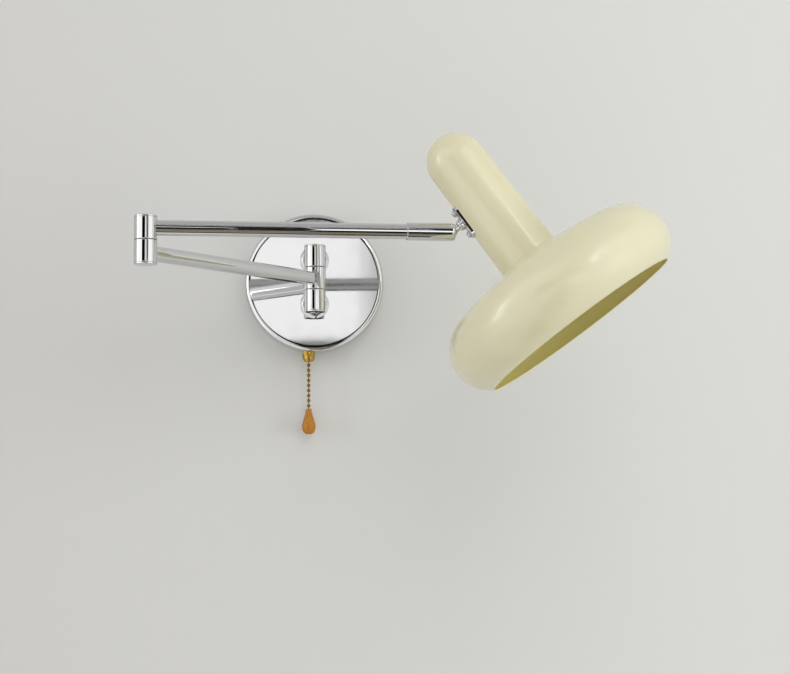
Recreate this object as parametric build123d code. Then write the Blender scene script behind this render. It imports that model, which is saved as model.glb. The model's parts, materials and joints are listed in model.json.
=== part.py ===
from build123d import *
import math
import os

# Accordion wall lamp: a round wall plate, two folding arms, a ball joint and a ring-shaped shade.
# Row frame, in mm: the origin is the middle of the wall plate's back, on the wall.
# +X is to the right as one faces the wall, +Y goes into the wall, +Z is up.

# ---- driving dimensions ----
# wall plate
PLATE_R = 60.0
PLATE_DEPTH = 20.0
PLATE_EDGE_R = 4.0
PLATE_SHEET = 1.2
SCREW_EAR_ANGLES = (60.0, 120.0)
SIDE_SCREW_OUT = 9.0
M4_CORE_R = 1.9
M4_CLEAR_R = 2.1
BRACKET_LENGTH = 96.0
BRACKET_WIDTH = 20.0
BRACKET_SHEET = 2.0
LIMB_X = 29.0
LIMB_WIDTH = 12.0
LIMB_LENGTH = 44.0
EAR_R = 57.4
EAR_OUT = 15.0
SLOT_SPACING = 66.0
SLOT_LENGTH = 20.0
SLOT_WIDTH = 5.0
EARTH_X = 18.5
EARTH_HOLE_R = 1.8

# terminal block
BLOCK_LENGTH = 28.0
BLOCK_WIDTH = 12.0
BLOCK_OUT = 11.0
TERMINAL_PITCH = 8.0
TERMINAL_ROW = 3.3
WIRE_WAY_OUT = 6.5
WIRE_WAY_R = 1.6
WIRE_R = 0.9
TERMINAL_SCREW_R = 1.7
TERMINAL_SCREW_OUT = 8.7
TERMINAL_SCREW_LENGTH = 3.5

# pan-head screws: shank radius, head radius, head height
CROSS_SLOT = 0.7
M4_PAN = (1.85, 3.5, 2.0)
EARTH_PAN = (1.7, 3.0, 1.8)
STRAP_PAN = (1.9, 2.6, 2.0)

# hub and elbow, each a stack of turned barrels
HUB_OUT = 45.0
BARREL_R = 9.0
BARREL_PITCH = 19.2
CAP_T = 1.5
CAP_SPIGOT = 1.2
WASHER_T = 0.4
RUN_GAP = 0.05
PIN_R = 4.0
PIN_BORE_R = 2.5
RING_NUT_R = 6.0
RING_NUT_T = 2.4
COUNTERBORE_R = 6.3
COUNTERBORE_DEPTH = 4.0
SEAT_R = 7.0
WIRE_HOLE_R = 1.8

# arms
TUBE_R = 6.0
TUBE_WALL = 1.0
ARM_1_LENGTH = 206.0
ARM_2_LENGTH = 238.0
ARM_1_ANGLE = 229.8
ARM_2_ANGLE = 4.15
CABLE_R = 2.4

# stems that carry the hub
STEM_R = 5.0
STEM_BORE_R = 3.3
FLANGE_R = 12.5
FLANGE_T = 4.0
FLANGE_SLANT = 2.3
STEM_NUT_FLATS = 14.0
STEM_NUT_T = 4.0

# ball joint at the end of arm 2
SLEEVE_R = 7.0
SLEEVE_LENGTH = 35.4
SLEEVE_NOSE = 3.2
SLEEVE_CORNER_R = 2.6
SLEEVE_STEP = -8.6
BALL_R = 5.0
STUD_NECK_R = 3.0
STUD_BORE_R = 1.6
STUD_HOLE_R = 3.08
COLLAR_R = 4.8
STUD_NUT_FLATS = 8.0
SLOT_HALF = 3.15
SLOT_LOW = -40.0
SLOT_HIGH = 70.0
STUD_LEAN = 36.0
STRAP_FACE = 10.9

# shade: radii and heights above the plane of its opening, along its own axis
SHADE_TURN = 4.8
SHADE_R = 100.0
SHADE_SHEET = 1.2
SHADE_BULGE_R = 31.6
SHADE_BULGE_H = 27.0
SHADE_SLOPE = 10.9
NECK_TOP_R = 23.5
NECK_FOOT_R = 25.0
NECK_TOP_H = 186.0
NECK_FLANGE_R = 33.0
STRAP_H = 119.4
STRAP_LENGTH = 28.0
STRAP_WIDTH = 14.0
STRAP_T = 2.0
STRAP_SCREW_PITCH = 20.0

# lamp holder and bulb, by height above the opening
HOLDER_FOOT_H = 64.0
HOLDER_TOP_H = 112.4
HOLDER_R = 17.2
HOLDER_WELL_R = 14.0
HOLDER_WELL = 34.0
NIPPLE_R = 5.0
SHELF_R = 11.0
LEG_WIDTH = 12.0
LEG_LENGTH = 30.0
CAP_R = 13.2
CAP_PITCH = 3.6
CAP_TURNS = 6
GLOBE_R = 22.0
GLOBE_H = 38.0
GLOBE_WALL = 1.2
COLLAR_H = GLOBE_H + 10.0
LED_BOARD_R = 15.0
LEAD_R = 1.1

# pull switch under the rim
SWITCH_X = -5.0
SWITCH_OUT = 10.0
SWITCH_NECK_R = 4.0
CHAIN_PITCH = 4.4
CHAIN_BEADS = 10
BEAD_R = 1.6
CHAIN_WIRE_R = 0.5
CUP_R = 1.6
CUP_DEPTH = 2.6

FIT = 0.05


# ---- helpers ----
def outline_point(radius, height):
    """A point of an outline that is turned about Z."""
    return (radius, 0, height)


def lathe(*points):
    """A solid turned about Z from a closed outline of (radius, height) points."""
    edge = Polyline(*[outline_point(r, h) for r, h in points], close=True)
    return revolve(make_face(edge), Axis.Z)


def lathe_edges(*edges):
    """A solid turned about Z from the edges of a closed outline."""
    return revolve(make_face(list(edges)), Axis.Z)


def rod(radius, low, high):
    """A round bar along Z."""
    return Pos(0, 0, low) * Cylinder(radius, high - low, align=(Align.CENTER, Align.CENTER, Align.MIN))


def ring(outer, inner, low, high):
    """A round tube along Z."""
    return rod(outer, low, high) - rod(inner, low - 1, high + 1)


def along_x(shape):
    """Lays a shape that was made along Z along X."""
    return Rot(0, 90, 0) * shape


def across_rim(angle, shape):
    """Turns a shape made along X to an angle about Z."""
    return Rot(0, 0, angle) * shape


def hex_nut(flats, bore, low, high):
    """A six-sided nut along Z."""
    blank = extrude(RegularPolygon(flats / 2, 6, major_radius=False), high - low)
    return Pos(0, 0, low) * blank - rod(bore, low - 1, high + 1)


def export(node, shape):
    """Writes one node's solids."""
    solids = shape.solids()
    kept = solids[0] if len(solids) == 1 else Compound(children=list(solids))
    export_step(kept, f"parts/{node}.step")


def cos_sin(degrees):
    """The cosine and sine of an angle in degrees."""
    return math.cos(math.radians(degrees)), math.sin(math.radians(degrees))


# ---- frames ----
# wall frame: x right, y up, z out of the wall
WALL = Plane(origin=(0, 0, 0), x_dir=(1, 0, 0), z_dir=(0, -1, 0))
HUB = Plane(origin=(0, -HUB_OUT, 0), x_dir=(1, 0, 0), z_dir=(0, 0, 1))

ARM_1_X, ARM_1_Y = cos_sin(ARM_1_ANGLE)
ARM_1 = Plane(origin=(0, -HUB_OUT, 0), x_dir=(ARM_1_X, ARM_1_Y, 0), z_dir=(0, 0, 1))
ELBOW = (ARM_1_LENGTH * ARM_1_X, ARM_1_LENGTH * ARM_1_Y - HUB_OUT)
ARM_1_BACK = Plane(origin=(*ELBOW, 0), x_dir=(-ARM_1_X, -ARM_1_Y, 0), z_dir=(0, 0, 1))

ARM_2_X, ARM_2_Y = cos_sin(ARM_2_ANGLE)
ARM_2 = Plane(origin=(*ELBOW, BARREL_PITCH), x_dir=(ARM_2_X, ARM_2_Y, 0), z_dir=(0, 0, 1))
BALL = Vector(*ELBOW, BARREL_PITCH) + Vector(ARM_2_X, ARM_2_Y, 0) * ARM_2_LENGTH

# ---- derived heights of the shade ----
SLOPE_COS, SLOPE_SIN = cos_sin(SHADE_SLOPE)
SLOPE_DROP = SLOPE_SIN / SLOPE_COS
BULGE_CENTRE_R = SHADE_R - SHADE_BULGE_R


def slope_height(bulge_r, radius):
    """The height of the sloping top at a radius, for the outer or the inner face of the sheet."""
    touch_r = BULGE_CENTRE_R + bulge_r * SLOPE_SIN
    return SHADE_BULGE_H + bulge_r * SLOPE_COS + (touch_r - radius) * SLOPE_DROP


SHADE_SHOULDER_H = slope_height(SHADE_BULGE_R, NECK_FOOT_R)


def neck_radius(height):
    """The outer radius of the tapering neck."""
    share = (height - SHADE_SHOULDER_H) / (NECK_TOP_H - NECK_TOP_R - SHADE_SHOULDER_H)
    return NECK_FOOT_R + (NECK_TOP_R - NECK_FOOT_R) * share


# The stud leans up from level. The shade's axis is square to it, turned a little to the viewer.
LEAN_COS, LEAN_SIN = cos_sin(STUD_LEAN)
STUD_DIR = Vector(LEAN_COS, 0, LEAN_SIN)
SIDE_DIR = Vector(-LEAN_SIN, 0, LEAN_COS)
TURN_COS, TURN_SIN = cos_sin(SHADE_TURN)
SHADE_UP = SIDE_DIR * TURN_COS + Vector(0, 1, 0) * TURN_SIN
NECK_AXIS = STRAP_FACE + STRAP_T + neck_radius(STRAP_H)
SHADE_ORIGIN = BALL + STUD_DIR * NECK_AXIS - SHADE_UP * STRAP_H
SHADE = Plane(origin=SHADE_ORIGIN, x_dir=STUD_DIR, z_dir=SHADE_UP)
STUD = Plane(origin=BALL, x_dir=SHADE_UP, z_dir=STUD_DIR)
# The sleeve is rolled so that its slot lies in the plane of the arm and the stud.
ARM_2_DIR = Vector(ARM_2_X, ARM_2_Y, 0)
SLOT_UP = STUD_DIR - ARM_2_DIR * STUD_DIR.dot(ARM_2_DIR)
SOCKET = Plane(origin=BALL, x_dir=SLOT_UP, z_dir=ARM_2_DIR)
SWITCH = Plane(origin=(SWITCH_X, -SWITCH_OUT, 0), x_dir=(1, 0, 0), z_dir=(0, 0, 1))


# ---- wall plate ----
def canopy():
    flat_r = PLATE_R - PLATE_EDGE_R
    low = PLATE_DEPTH - PLATE_EDGE_R
    back = PLATE_DEPTH - PLATE_SHEET
    inner_r = PLATE_R - PLATE_SHEET
    inner_edge = PLATE_EDGE_R - PLATE_SHEET
    mid, _ = cos_sin(45)
    outer_mid = (flat_r + PLATE_EDGE_R * mid, low + PLATE_EDGE_R * mid)
    inner_mid = (flat_r + inner_edge * mid, low + inner_edge * mid)
    p = outline_point
    pan = lathe_edges(
        Line(p(PLATE_R, 0), p(PLATE_R, low)),
        ThreePointArc(p(PLATE_R, low), p(*outer_mid), p(flat_r, PLATE_DEPTH)),
        Line(p(flat_r, PLATE_DEPTH), p(0, PLATE_DEPTH)),
        Line(p(0, PLATE_DEPTH), p(0, back)),
        Line(p(0, back), p(flat_r, back)),
        ThreePointArc(p(flat_r, back), p(*inner_mid), p(inner_r, low)),
        Line(p(inner_r, low), p(inner_r, 0)),
        Line(p(inner_r, 0), p(PLATE_R, 0)),
    )
    for side in (-1, 1):
        pan -= Pos(0, side * BARREL_PITCH, 0) * rod(STEM_R + FIT, back - 1, PLATE_DEPTH + 1)
    for angle in SCREW_EAR_ANGLES:
        hole = along_x(rod(M4_CLEAR_R, flat_r, PLATE_R + 1))
        pan -= across_rim(angle, Pos(0, 0, SIDE_SCREW_OUT) * hole)
    pan -= Pos(SWITCH_X, 0, SWITCH_OUT) * Rot(90, 0, 0) * rod(SWITCH_NECK_R + 0.1, 50, PLATE_R + 1)
    return WALL * pan


def wall_bracket():
    sheet = BRACKET_SHEET
    bar = Pos(0, 0, sheet / 2) * Box(BRACKET_LENGTH, BRACKET_WIDTH, sheet)
    for side in (-1, 1):
        limb = Box(LIMB_WIDTH, LIMB_LENGTH, sheet)
        bar += Pos(side * LIMB_X, BRACKET_WIDTH / 2 - 3 + LIMB_LENGTH / 2, sheet / 2) * limb
        slot = SlotOverall(SLOT_LENGTH, SLOT_WIDTH)
        bar -= Pos(side * SLOT_SPACING / 2, 0, -1) * extrude(slot, sheet + 2)
    bar -= Pos(EARTH_X, 0, 0) * rod(EARTH_HOLE_R, -1, sheet + 1)
    bar = bar & rod(PLATE_R - PLATE_SHEET - 0.4, -1, sheet + 1)
    for angle in SCREW_EAR_ANGLES:
        ear = Pos(EAR_R, 0, EAR_OUT / 2) * Box(sheet, LIMB_WIDTH, EAR_OUT)
        ear -= Pos(0, 0, SIDE_SCREW_OUT) * along_x(rod(M4_CORE_R, EAR_R - 5, EAR_R + 5))
        bar += across_rim(angle, ear)
    return WALL * bar


def pan_screw(shank_r, head_r, head_t, length):
    """A pan-head screw along Z, its head above Z = 0, with a cross in the head."""
    screw = rod(shank_r, -length, 0.2) + rod(head_r, 0, head_t)
    screw = chamfer(screw.edges().filter_by(GeomType.CIRCLE).sort_by(Axis.Z)[-1], head_t * 0.35)
    for turn in (0, 90):
        screw -= Rot(0, 0, turn) * Pos(0, 0, head_t) * Box(head_r * 1.1, CROSS_SLOT, head_t)
    return screw


def canopy_screws():
    screws = [
        across_rim(angle, Pos(PLATE_R, 0, SIDE_SCREW_OUT) * along_x(pan_screw(*M4_PAN, 6.5)))
        for angle in SCREW_EAR_ANGLES
    ]
    return WALL * (screws[0] + screws[1])


def terminal_block():
    block = Pos(0, 0, BRACKET_SHEET + BLOCK_OUT / 2) * Box(BLOCK_LENGTH, BLOCK_WIDTH, BLOCK_OUT)
    block = fillet(block.edges().filter_by(Axis.Y).sort_by(Axis.Z)[-2:], 1.5)
    for pole in (-1, 0, 1):
        x = pole * TERMINAL_PITCH
        way = rod(WIRE_WAY_R, -BLOCK_WIDTH, BLOCK_WIDTH)
        block -= Pos(x, 0, WIRE_WAY_OUT) * Rot(90, 0, 0) * way
        for row in (-1, 1):
            well = rod(TERMINAL_SCREW_R + 0.2, TERMINAL_SCREW_OUT - 0.1, BRACKET_SHEET + BLOCK_OUT + 1)
            block -= Pos(x, row * TERMINAL_ROW, 0) * well
    return WALL * block


def terminal_screws():
    screws = []
    for pole in (-1, 0, 1):
        for row in (-1, 1):
            top = TERMINAL_SCREW_OUT + TERMINAL_SCREW_LENGTH
            slot = Pos(0, 0, top) * Box(3 * TERMINAL_SCREW_R, CROSS_SLOT, 1.6)
            screw = rod(TERMINAL_SCREW_R, TERMINAL_SCREW_OUT, top) - slot
            screws.append(Pos(pole * TERMINAL_PITCH, row * TERMINAL_ROW, 0) * screw)
    return WALL * Compound(children=screws)


def earth_screw():
    return WALL * Pos(EARTH_X, 0, BRACKET_SHEET) * pan_screw(*EARTH_PAN, BRACKET_SHEET - 0.1)


def stem(side):
    tube = ring(STEM_R, STEM_BORE_R, PLATE_DEPTH - 8, HUB_OUT)
    post = Pos(0, 0, HUB_OUT) * Rot(90, 0, 0) * rod(SEAT_R + 0.1, -20, 20)
    return WALL * Pos(0, side * BARREL_PITCH, 0) * (tube - post)


def stem_flanges():
    low = PLATE_DEPTH
    top = PLATE_DEPTH + FLANGE_T
    bore = STEM_R + FIT
    flange = lathe(
        (bore, low), (FLANGE_R, low), (FLANGE_R, top - FLANGE_SLANT),
        (FLANGE_R - FLANGE_SLANT, top), (bore, top),
    )
    pair = [Pos(0, side * BARREL_PITCH, 0) * flange for side in (-1, 1)]
    return WALL * (pair[0] + pair[1])


def stem_nuts():
    top = PLATE_DEPTH - PLATE_SHEET
    nut = hex_nut(STEM_NUT_FLATS, STEM_R + 0.02, top - STEM_NUT_T, top)
    pair = [Pos(0, side * BARREL_PITCH, 0) * nut for side in (-1, 1)]
    return WALL * (pair[0] + pair[1])


# ---- turned barrels of the hub and the elbow ----
def barrel(low, high, open_top=False, open_foot=False):
    """A barrel about Z with a pin bore, and a counterbore at an open end."""
    edge = 0.3
    body = lathe(
        (PIN_R + FIT, low), (BARREL_R - edge, low), (BARREL_R, low + edge),
        (BARREL_R, high - edge), (BARREL_R - edge, high), (PIN_R + FIT, high),
    )
    if open_top:
        body -= rod(COUNTERBORE_R, high - COUNTERBORE_DEPTH, high + 1)
    if open_foot:
        body -= rod(COUNTERBORE_R, low - 1, low + COUNTERBORE_DEPTH)
    return body


def tube_seat(radius, height, angle):
    """The hole that takes a tube's end in a barrel's wall, and the wire hole inside it."""
    seat = along_x(rod(radius, 0, BARREL_R + 3)) - rod(SEAT_R, -20, 20)
    wires = along_x(rod(WIRE_HOLE_R, 0, BARREL_R))
    return Pos(0, 0, height) * Rot(0, 0, angle) * (seat + wires)


def cap(face, up):
    """A cap that closes a barrel's open end. Its spigot sits in the counterbore."""
    edge = 0.5
    disc = lathe(
        (0, -CAP_SPIGOT), (COUNTERBORE_R - FIT, -CAP_SPIGOT), (COUNTERBORE_R - FIT, 0),
        (BARREL_R, 0), (BARREL_R, CAP_T - edge), (BARREL_R - edge, CAP_T), (0, CAP_T),
    )
    return Pos(0, 0, face) * (disc if up else Rot(180, 0, 0) * disc)


def ring_nut(low):
    """A round nut with two slots for its key."""
    nut = ring(RING_NUT_R, PIN_R + 0.02, low, low + RING_NUT_T)
    return nut - Pos(0, 0, low + RING_NUT_T) * Box(2 * RING_NUT_R + 1, 1.6, 1.6)


def hollow_pin(low, high, windows):
    """A hollow pin about Z, with a hole in its wall where wires leave it."""
    pin = ring(PIN_R, PIN_BORE_R, low, high)
    for height, angle in windows:
        pin -= Pos(0, 0, height) * Rot(0, 0, angle) * along_x(rod(WIRE_HOLE_R, 0, PIN_R + 1))
    return pin


HALF = BARREL_PITCH / 2
HUB_TOP = 1.5 * BARREL_PITCH
HALF_WASHER = WASHER_T / 2
NUT_INSET = CAP_T + CAP_SPIGOT + 0.3


def upper_hub_knuckle():
    body = barrel(HALF + HALF_WASHER, HUB_TOP - CAP_T, open_top=True)
    return HUB * (body - tube_seat(STEM_R, BARREL_PITCH, 90))


def lower_hub_knuckle():
    body = barrel(CAP_T - HUB_TOP, -HALF - HALF_WASHER, open_foot=True)
    return HUB * (body - tube_seat(STEM_R, -BARREL_PITCH, 90))


def hub_pin():
    end = HUB_TOP - NUT_INSET
    return HUB * hollow_pin(-end, end, ((-BARREL_PITCH, 90), (0, ARM_1_ANGLE)))


def hub_ring_nuts():
    low = HUB_TOP - NUT_INSET - RING_NUT_T
    top = ring_nut(low)
    return HUB * (top + Rot(180, 0, 0) * top)


def hub_washers():
    upper = ring(BARREL_R - 0.4, PIN_R + FIT, HALF - HALF_WASHER, HALF + HALF_WASHER)
    return HUB * (upper + Pos(0, 0, -BARREL_PITCH) * upper)


def arm_1_hub_knuckle():
    end = HALF - HALF_WASHER - RUN_GAP
    return ARM_1 * (barrel(-end, end) - tube_seat(TUBE_R, 0, 0))


def arm_1_tube():
    tube = ring(TUBE_R, TUBE_R - TUBE_WALL, 0, ARM_1_LENGTH)
    tube = along_x(tube) - rod(SEAT_R + 0.1, -20, 20)
    return ARM_1 * (tube - Pos(ARM_1_LENGTH, 0, 0) * rod(SEAT_R + 0.1, -20, 20))


def arm_1_elbow_knuckle():
    body = barrel(CAP_T - HALF, HALF - HALF_WASHER, open_foot=True)
    return ARM_1_BACK * (body - tube_seat(TUBE_R, 0, 0))


def arm_1_cable():
    return ARM_1 * along_x(rod(CABLE_R, SEAT_R + 0.5, ARM_1_LENGTH - SEAT_R - 0.5))


ELBOW_FOOT = NUT_INSET - HALF
ELBOW_TOP = HUB_TOP - NUT_INSET


def elbow_pin():
    arm_2_side = ARM_2_ANGLE - ARM_1_ANGLE + 180
    return ARM_1_BACK * hollow_pin(ELBOW_FOOT, ELBOW_TOP, ((0, 0), (BARREL_PITCH, arm_2_side)))


def elbow_ring_nuts():
    top = ring_nut(ELBOW_TOP - RING_NUT_T)
    foot = Rot(180, 0, 0) * ring_nut(-ELBOW_FOOT - RING_NUT_T)
    return ARM_1_BACK * (top + foot)


def elbow_washer():
    return ARM_1_BACK * ring(BARREL_R - 0.4, PIN_R + FIT, HALF - HALF_WASHER, HALF + HALF_WASHER)


def arm_2_knuckle():
    body = barrel(HALF + HALF_WASHER + RUN_GAP, HUB_TOP - CAP_T, open_top=True)
    return ARM_2 * Pos(0, 0, -BARREL_PITCH) * (body - tube_seat(TUBE_R, BARREL_PITCH, 0))


TUBE_END = ARM_2_LENGTH - 9.0
CLIP_X = ARM_2_LENGTH - 25.0
CLIP_T = 1.0


def arm_2_tube():
    tube = ring(TUBE_R, TUBE_R - TUBE_WALL, 0, TUBE_END)
    tube -= ring(TUBE_R + 1, TUBE_R - 0.4, CLIP_X - CLIP_T / 2, CLIP_X + CLIP_T / 2)
    return ARM_2 * (along_x(tube) - rod(SEAT_R + 0.1, -20, 20))


def arm_2_end_bush():
    return ARM_2 * along_x(ring(TUBE_R - TUBE_WALL - 0.02, CABLE_R + 0.1, TUBE_END - 8, TUBE_END))


def arm_2_cable():
    return ARM_2 * along_x(rod(CABLE_R, SEAT_R + 0.5, TUBE_END - 1))


def sleeve_clip():
    """The open snap ring that keeps the sleeve on the tube."""
    half = CLIP_T / 2 - 0.02
    clip = ring(TUBE_R + 0.45, TUBE_R - 0.38, CLIP_X - half, CLIP_X + half)
    return ARM_2 * along_x(clip - Pos(0, -8, CLIP_X) * Box(3, 8, 3))


# ---- ball joint ----
def socket_sleeve():
    """A sleeve about the arm's axis. Its nose holds the ball, with a slot for the stud's travel."""
    back = -SLEEVE_LENGTH
    bore = TUBE_R + FIT
    ball = BALL_R + FIT
    arc_mid, _ = cos_sin(45)
    nose = SLEEVE_CORNER_R
    corner_r, corner_h = SLEEVE_R - nose, SLEEVE_NOSE - nose
    p = outline_point
    blank = lathe_edges(
        Line(p(0, back), p(SLEEVE_R - 0.4, back)),
        Line(p(SLEEVE_R - 0.4, back), p(SLEEVE_R, back + 0.4)),
        Line(p(SLEEVE_R, back + 0.4), p(SLEEVE_R, corner_h)),
        ThreePointArc(
            p(SLEEVE_R, corner_h),
            p(corner_r + nose * arc_mid, corner_h + nose * arc_mid),
            p(corner_r, SLEEVE_NOSE),
        ),
        Line(p(corner_r, SLEEVE_NOSE), p(0, SLEEVE_NOSE)),
        Line(p(0, SLEEVE_NOSE), p(0, back)),
    )
    blank -= rod(bore, back - 1, SLEEVE_STEP) + rod(ball, SLEEVE_STEP - 1, 0) + Sphere(ball)
    groove = CLIP_X - ARM_2_LENGTH
    half = CLIP_T / 2 + 0.15
    blank -= rod(TUBE_R + 0.6, groove - half, groove + half)
    return SOCKET * (blank - stud_slot())


def stud_slot():
    """The room that the stud's neck sweeps, in the socket's own frame: x up, z along the arm."""
    reach = 14.0
    fan = [(0, 0, 0)]
    slot = Part()
    for angle in (SLOT_LOW, SLOT_HIGH):
        along, up = cos_sin(angle)
        fan.append((reach * up, 0, reach * along))
        slot += Rot(0, angle, 0) * rod(SLOT_HALF, 0, reach)
    wedge = make_face(Polyline(*fan, close=True))
    return slot + extrude(wedge, SLOT_HALF, dir=(0, 1, 0), both=True)


def ball_seat():
    seat = ring(BALL_R - FIT, 2.0, -7.4, -2.8) - Sphere(BALL_R + FIT)
    return SOCKET * seat


def seat_springs():
    """Two disc springs, cupped towards each other."""
    low = lathe((2.5, -8.85), (4.8, -8.55), (4.8, -8.2), (2.5, -8.5))
    high = lathe((2.5, -7.45), (4.8, -7.75), (4.8, -8.1), (2.5, -7.8))
    return SOCKET * (low + high)


STUD_END = NECK_AXIS - 17.9
LEG_FACE = NECK_AXIS - 20.1


def ball_stud():
    """The hollow ball, its stud, and the collar that bears on the strap."""
    start = math.sqrt(BALL_R ** 2 - STUD_NECK_R ** 2)
    collar = STRAP_FACE + 0.3
    p = outline_point
    body = lathe_edges(
        ThreePointArc(p(0, -BALL_R), p(BALL_R, 0), p(STUD_NECK_R, start)),
        Line(p(STUD_NECK_R, start), p(STUD_NECK_R, 7.2)),
        ThreePointArc(p(STUD_NECK_R, 7.2), p(4.1, 7.7), p(4.3, 8.6)),
        Line(p(4.3, 8.6), p(4.0, 9.1)),
        Line(p(4.0, 9.1), p(COLLAR_R, 9.3)),
        Line(p(COLLAR_R, 9.3), p(COLLAR_R, collar)),
        Line(p(COLLAR_R, collar), p(STUD_NECK_R, collar)),
        Line(p(STUD_NECK_R, collar), p(STUD_NECK_R, STUD_END)),
        Line(p(STUD_NECK_R, STUD_END), p(0, STUD_END)),
        Line(p(0, STUD_END), p(0, -BALL_R)),
    )
    return STUD * (body - rod(STUD_BORE_R, -BALL_R - 1, STUD_END + 1))


def stud_nut():
    return STUD * hex_nut(STUD_NUT_FLATS, STUD_NECK_R + 0.02, LEG_FACE + 0.1, LEG_FACE + 2.0)


# ---- shade ----
def neck_outline(offset):
    """The neck's outer line from its foot to its top, moved in by an offset."""
    dome_h = NECK_TOP_H - NECK_TOP_R
    radius = NECK_TOP_R - offset
    mid, _ = cos_sin(45)
    p = outline_point
    side = Line(p(NECK_FOOT_R - offset, SHADE_SHOULDER_H), p(radius, dome_h))
    dome = ThreePointArc(
        p(radius, dome_h), p(radius * mid, dome_h + radius * mid), p(0, dome_h + radius)
    )
    return side, dome


def neck_solid(offset):
    """The neck's outer shape as a full solid, moved in by an offset."""
    side, dome = neck_outline(offset)
    top = NECK_TOP_H - offset
    p = outline_point
    floor = Line(p(0, SHADE_SHOULDER_H), p(NECK_FOOT_R - offset, SHADE_SHOULDER_H))
    return lathe_edges(side, dome, Line(p(0, top), p(0, SHADE_SHOULDER_H)), floor)


def neck_side_hole(radius, offset):
    """A hole in the side of the neck that faces the stud, above or below the stud by an offset."""
    return Pos(0, 0, STRAP_H + offset) * along_x(rod(radius, -35, -15))


def neck_shell():
    inner = NECK_FOOT_R - SHADE_SHEET
    flange_top = slope_height(SHADE_BULGE_R - SHADE_SHEET, NECK_FOOT_R) - 0.03
    flange_drop = (NECK_FLANGE_R - NECK_FOOT_R) * SLOPE_DROP
    shell = neck_solid(0) - neck_solid(SHADE_SHEET)
    flange = lathe(
        (inner, SHADE_SHOULDER_H + 0.2), (inner, flange_top - 1.0),
        (NECK_FLANGE_R, flange_top - 1.0 - flange_drop), (NECK_FLANGE_R, flange_top - flange_drop),
        (NECK_FOOT_R, flange_top), (NECK_FOOT_R, SHADE_SHOULDER_H + 0.2),
    )
    shell += flange
    for offset in (-STRAP_SCREW_PITCH / 2, STRAP_SCREW_PITCH / 2):
        shell -= neck_side_hole(M4_CLEAR_R, offset)
    shell -= neck_side_hole(STUD_HOLE_R, 0)
    return SHADE * shell


def shade_outline(radius):
    """The points of the ring's section, from the neck outwards and down to the rim."""
    start_r = NECK_FOOT_R + 0.06
    start = (start_r, slope_height(radius, start_r))
    top_r = BULGE_CENTRE_R + radius * SLOPE_SIN
    top = (top_r, slope_height(radius, top_r))
    side = (BULGE_CENTRE_R + radius, SHADE_BULGE_H)
    rim_sin = SHADE_BULGE_H / SHADE_BULGE_R
    rim_cos = math.sqrt(1 - rim_sin ** 2)
    rim = (BULGE_CENTRE_R + radius * rim_cos, SHADE_BULGE_H - radius * rim_sin)
    return start, top, side, rim


def shade_shell():
    outer = shade_outline(SHADE_BULGE_R)
    inner = shade_outline(SHADE_BULGE_R - SHADE_SHEET)
    p = outline_point
    shell = lathe_edges(
        Line(p(*outer[0]), p(*outer[1])),
        ThreePointArc(p(*outer[1]), p(*outer[2]), p(*outer[3])),
        Line(p(*outer[3]), p(*inner[3])),
        ThreePointArc(p(*inner[3]), p(*inner[2]), p(*inner[1])),
        Line(p(*inner[1]), p(*inner[0])),
        Line(p(*inner[0]), p(*outer[0])),
    )
    return SHADE * shell


def shade_strap():
    """The curved plate on the neck that the stud and two screws go through."""
    blank = Pos(-NECK_FOOT_R, 0, STRAP_H) * Box(12, STRAP_WIDTH, STRAP_LENGTH)
    blank = fillet(blank.edges().filter_by(Axis.X), 3.5)
    strap = (blank & neck_solid(-STRAP_T)) - neck_solid(0)
    for offset in (-STRAP_SCREW_PITCH / 2, STRAP_SCREW_PITCH / 2):
        strap -= neck_side_hole(M4_CLEAR_R, offset)
    strap -= neck_side_hole(STUD_HOLE_R, 0)
    face = STRAP_FACE + 0.4 - NECK_AXIS
    strap -= Pos(0, 0, STRAP_H) * along_x(rod(COLLAR_R + 0.6, face - 5, face))
    return SHADE * strap


def strap_screws():
    screws = Part()
    for offset in (-STRAP_SCREW_PITCH / 2, STRAP_SCREW_PITCH / 2):
        height = STRAP_H + offset
        face = -neck_radius(height) - STRAP_T - 0.06
        screw = Rot(0, -90, 0) * pan_screw(*STRAP_PAN, 6.2)
        screws += Pos(face, 0, height) * screw
    return SHADE * screws


def holder_bracket():
    leg_out, leg_in = -21.5, LEG_FACE - NECK_AXIS
    middle = (leg_out + leg_in) / 2
    leg = Pos(middle, 0, STRAP_H) * Box(leg_in - leg_out, LEG_WIDTH, LEG_LENGTH)
    for offset in (-STRAP_SCREW_PITCH / 2, STRAP_SCREW_PITCH / 2):
        leg -= neck_side_hole(M4_CORE_R + 0.05, offset)
    leg -= neck_side_hole(STUD_HOLE_R, 0)
    low, high = HOLDER_TOP_H + 0.1, HOLDER_TOP_H + 1.6
    reach = -leg_in + 0.3
    shelf = rod(SHELF_R, low, high)
    shelf += Pos(-reach / 2, 0, (low + high) / 2) * Box(reach, LEG_WIDTH, high - low)
    return SHADE * (leg + (shelf - rod(NIPPLE_R + FIT, low - 1, high + 1)))


def lamp_holder():
    top = HOLDER_TOP_H
    foot = HOLDER_FOOT_H
    ceiling = foot + HOLDER_WELL
    return SHADE * lathe(
        (NIPPLE_R, top + 6), (NIPPLE_R, top), (12, top), (HOLDER_R, top - 8), (HOLDER_R, foot),
        (HOLDER_WELL_R, foot), (HOLDER_WELL_R, ceiling), (3, ceiling), (3, top + 6),
    )


def holder_shell():
    low = HOLDER_FOOT_H + 4
    return SHADE * ring(HOLDER_WELL_R - 0.1, HOLDER_WELL_R - 0.5, low, HOLDER_FOOT_H + HOLDER_WELL - 4)


def holder_nut():
    return SHADE * hex_nut(14.0, NIPPLE_R + 0.02, HOLDER_TOP_H + 1.6, HOLDER_TOP_H + 4.6)


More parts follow.
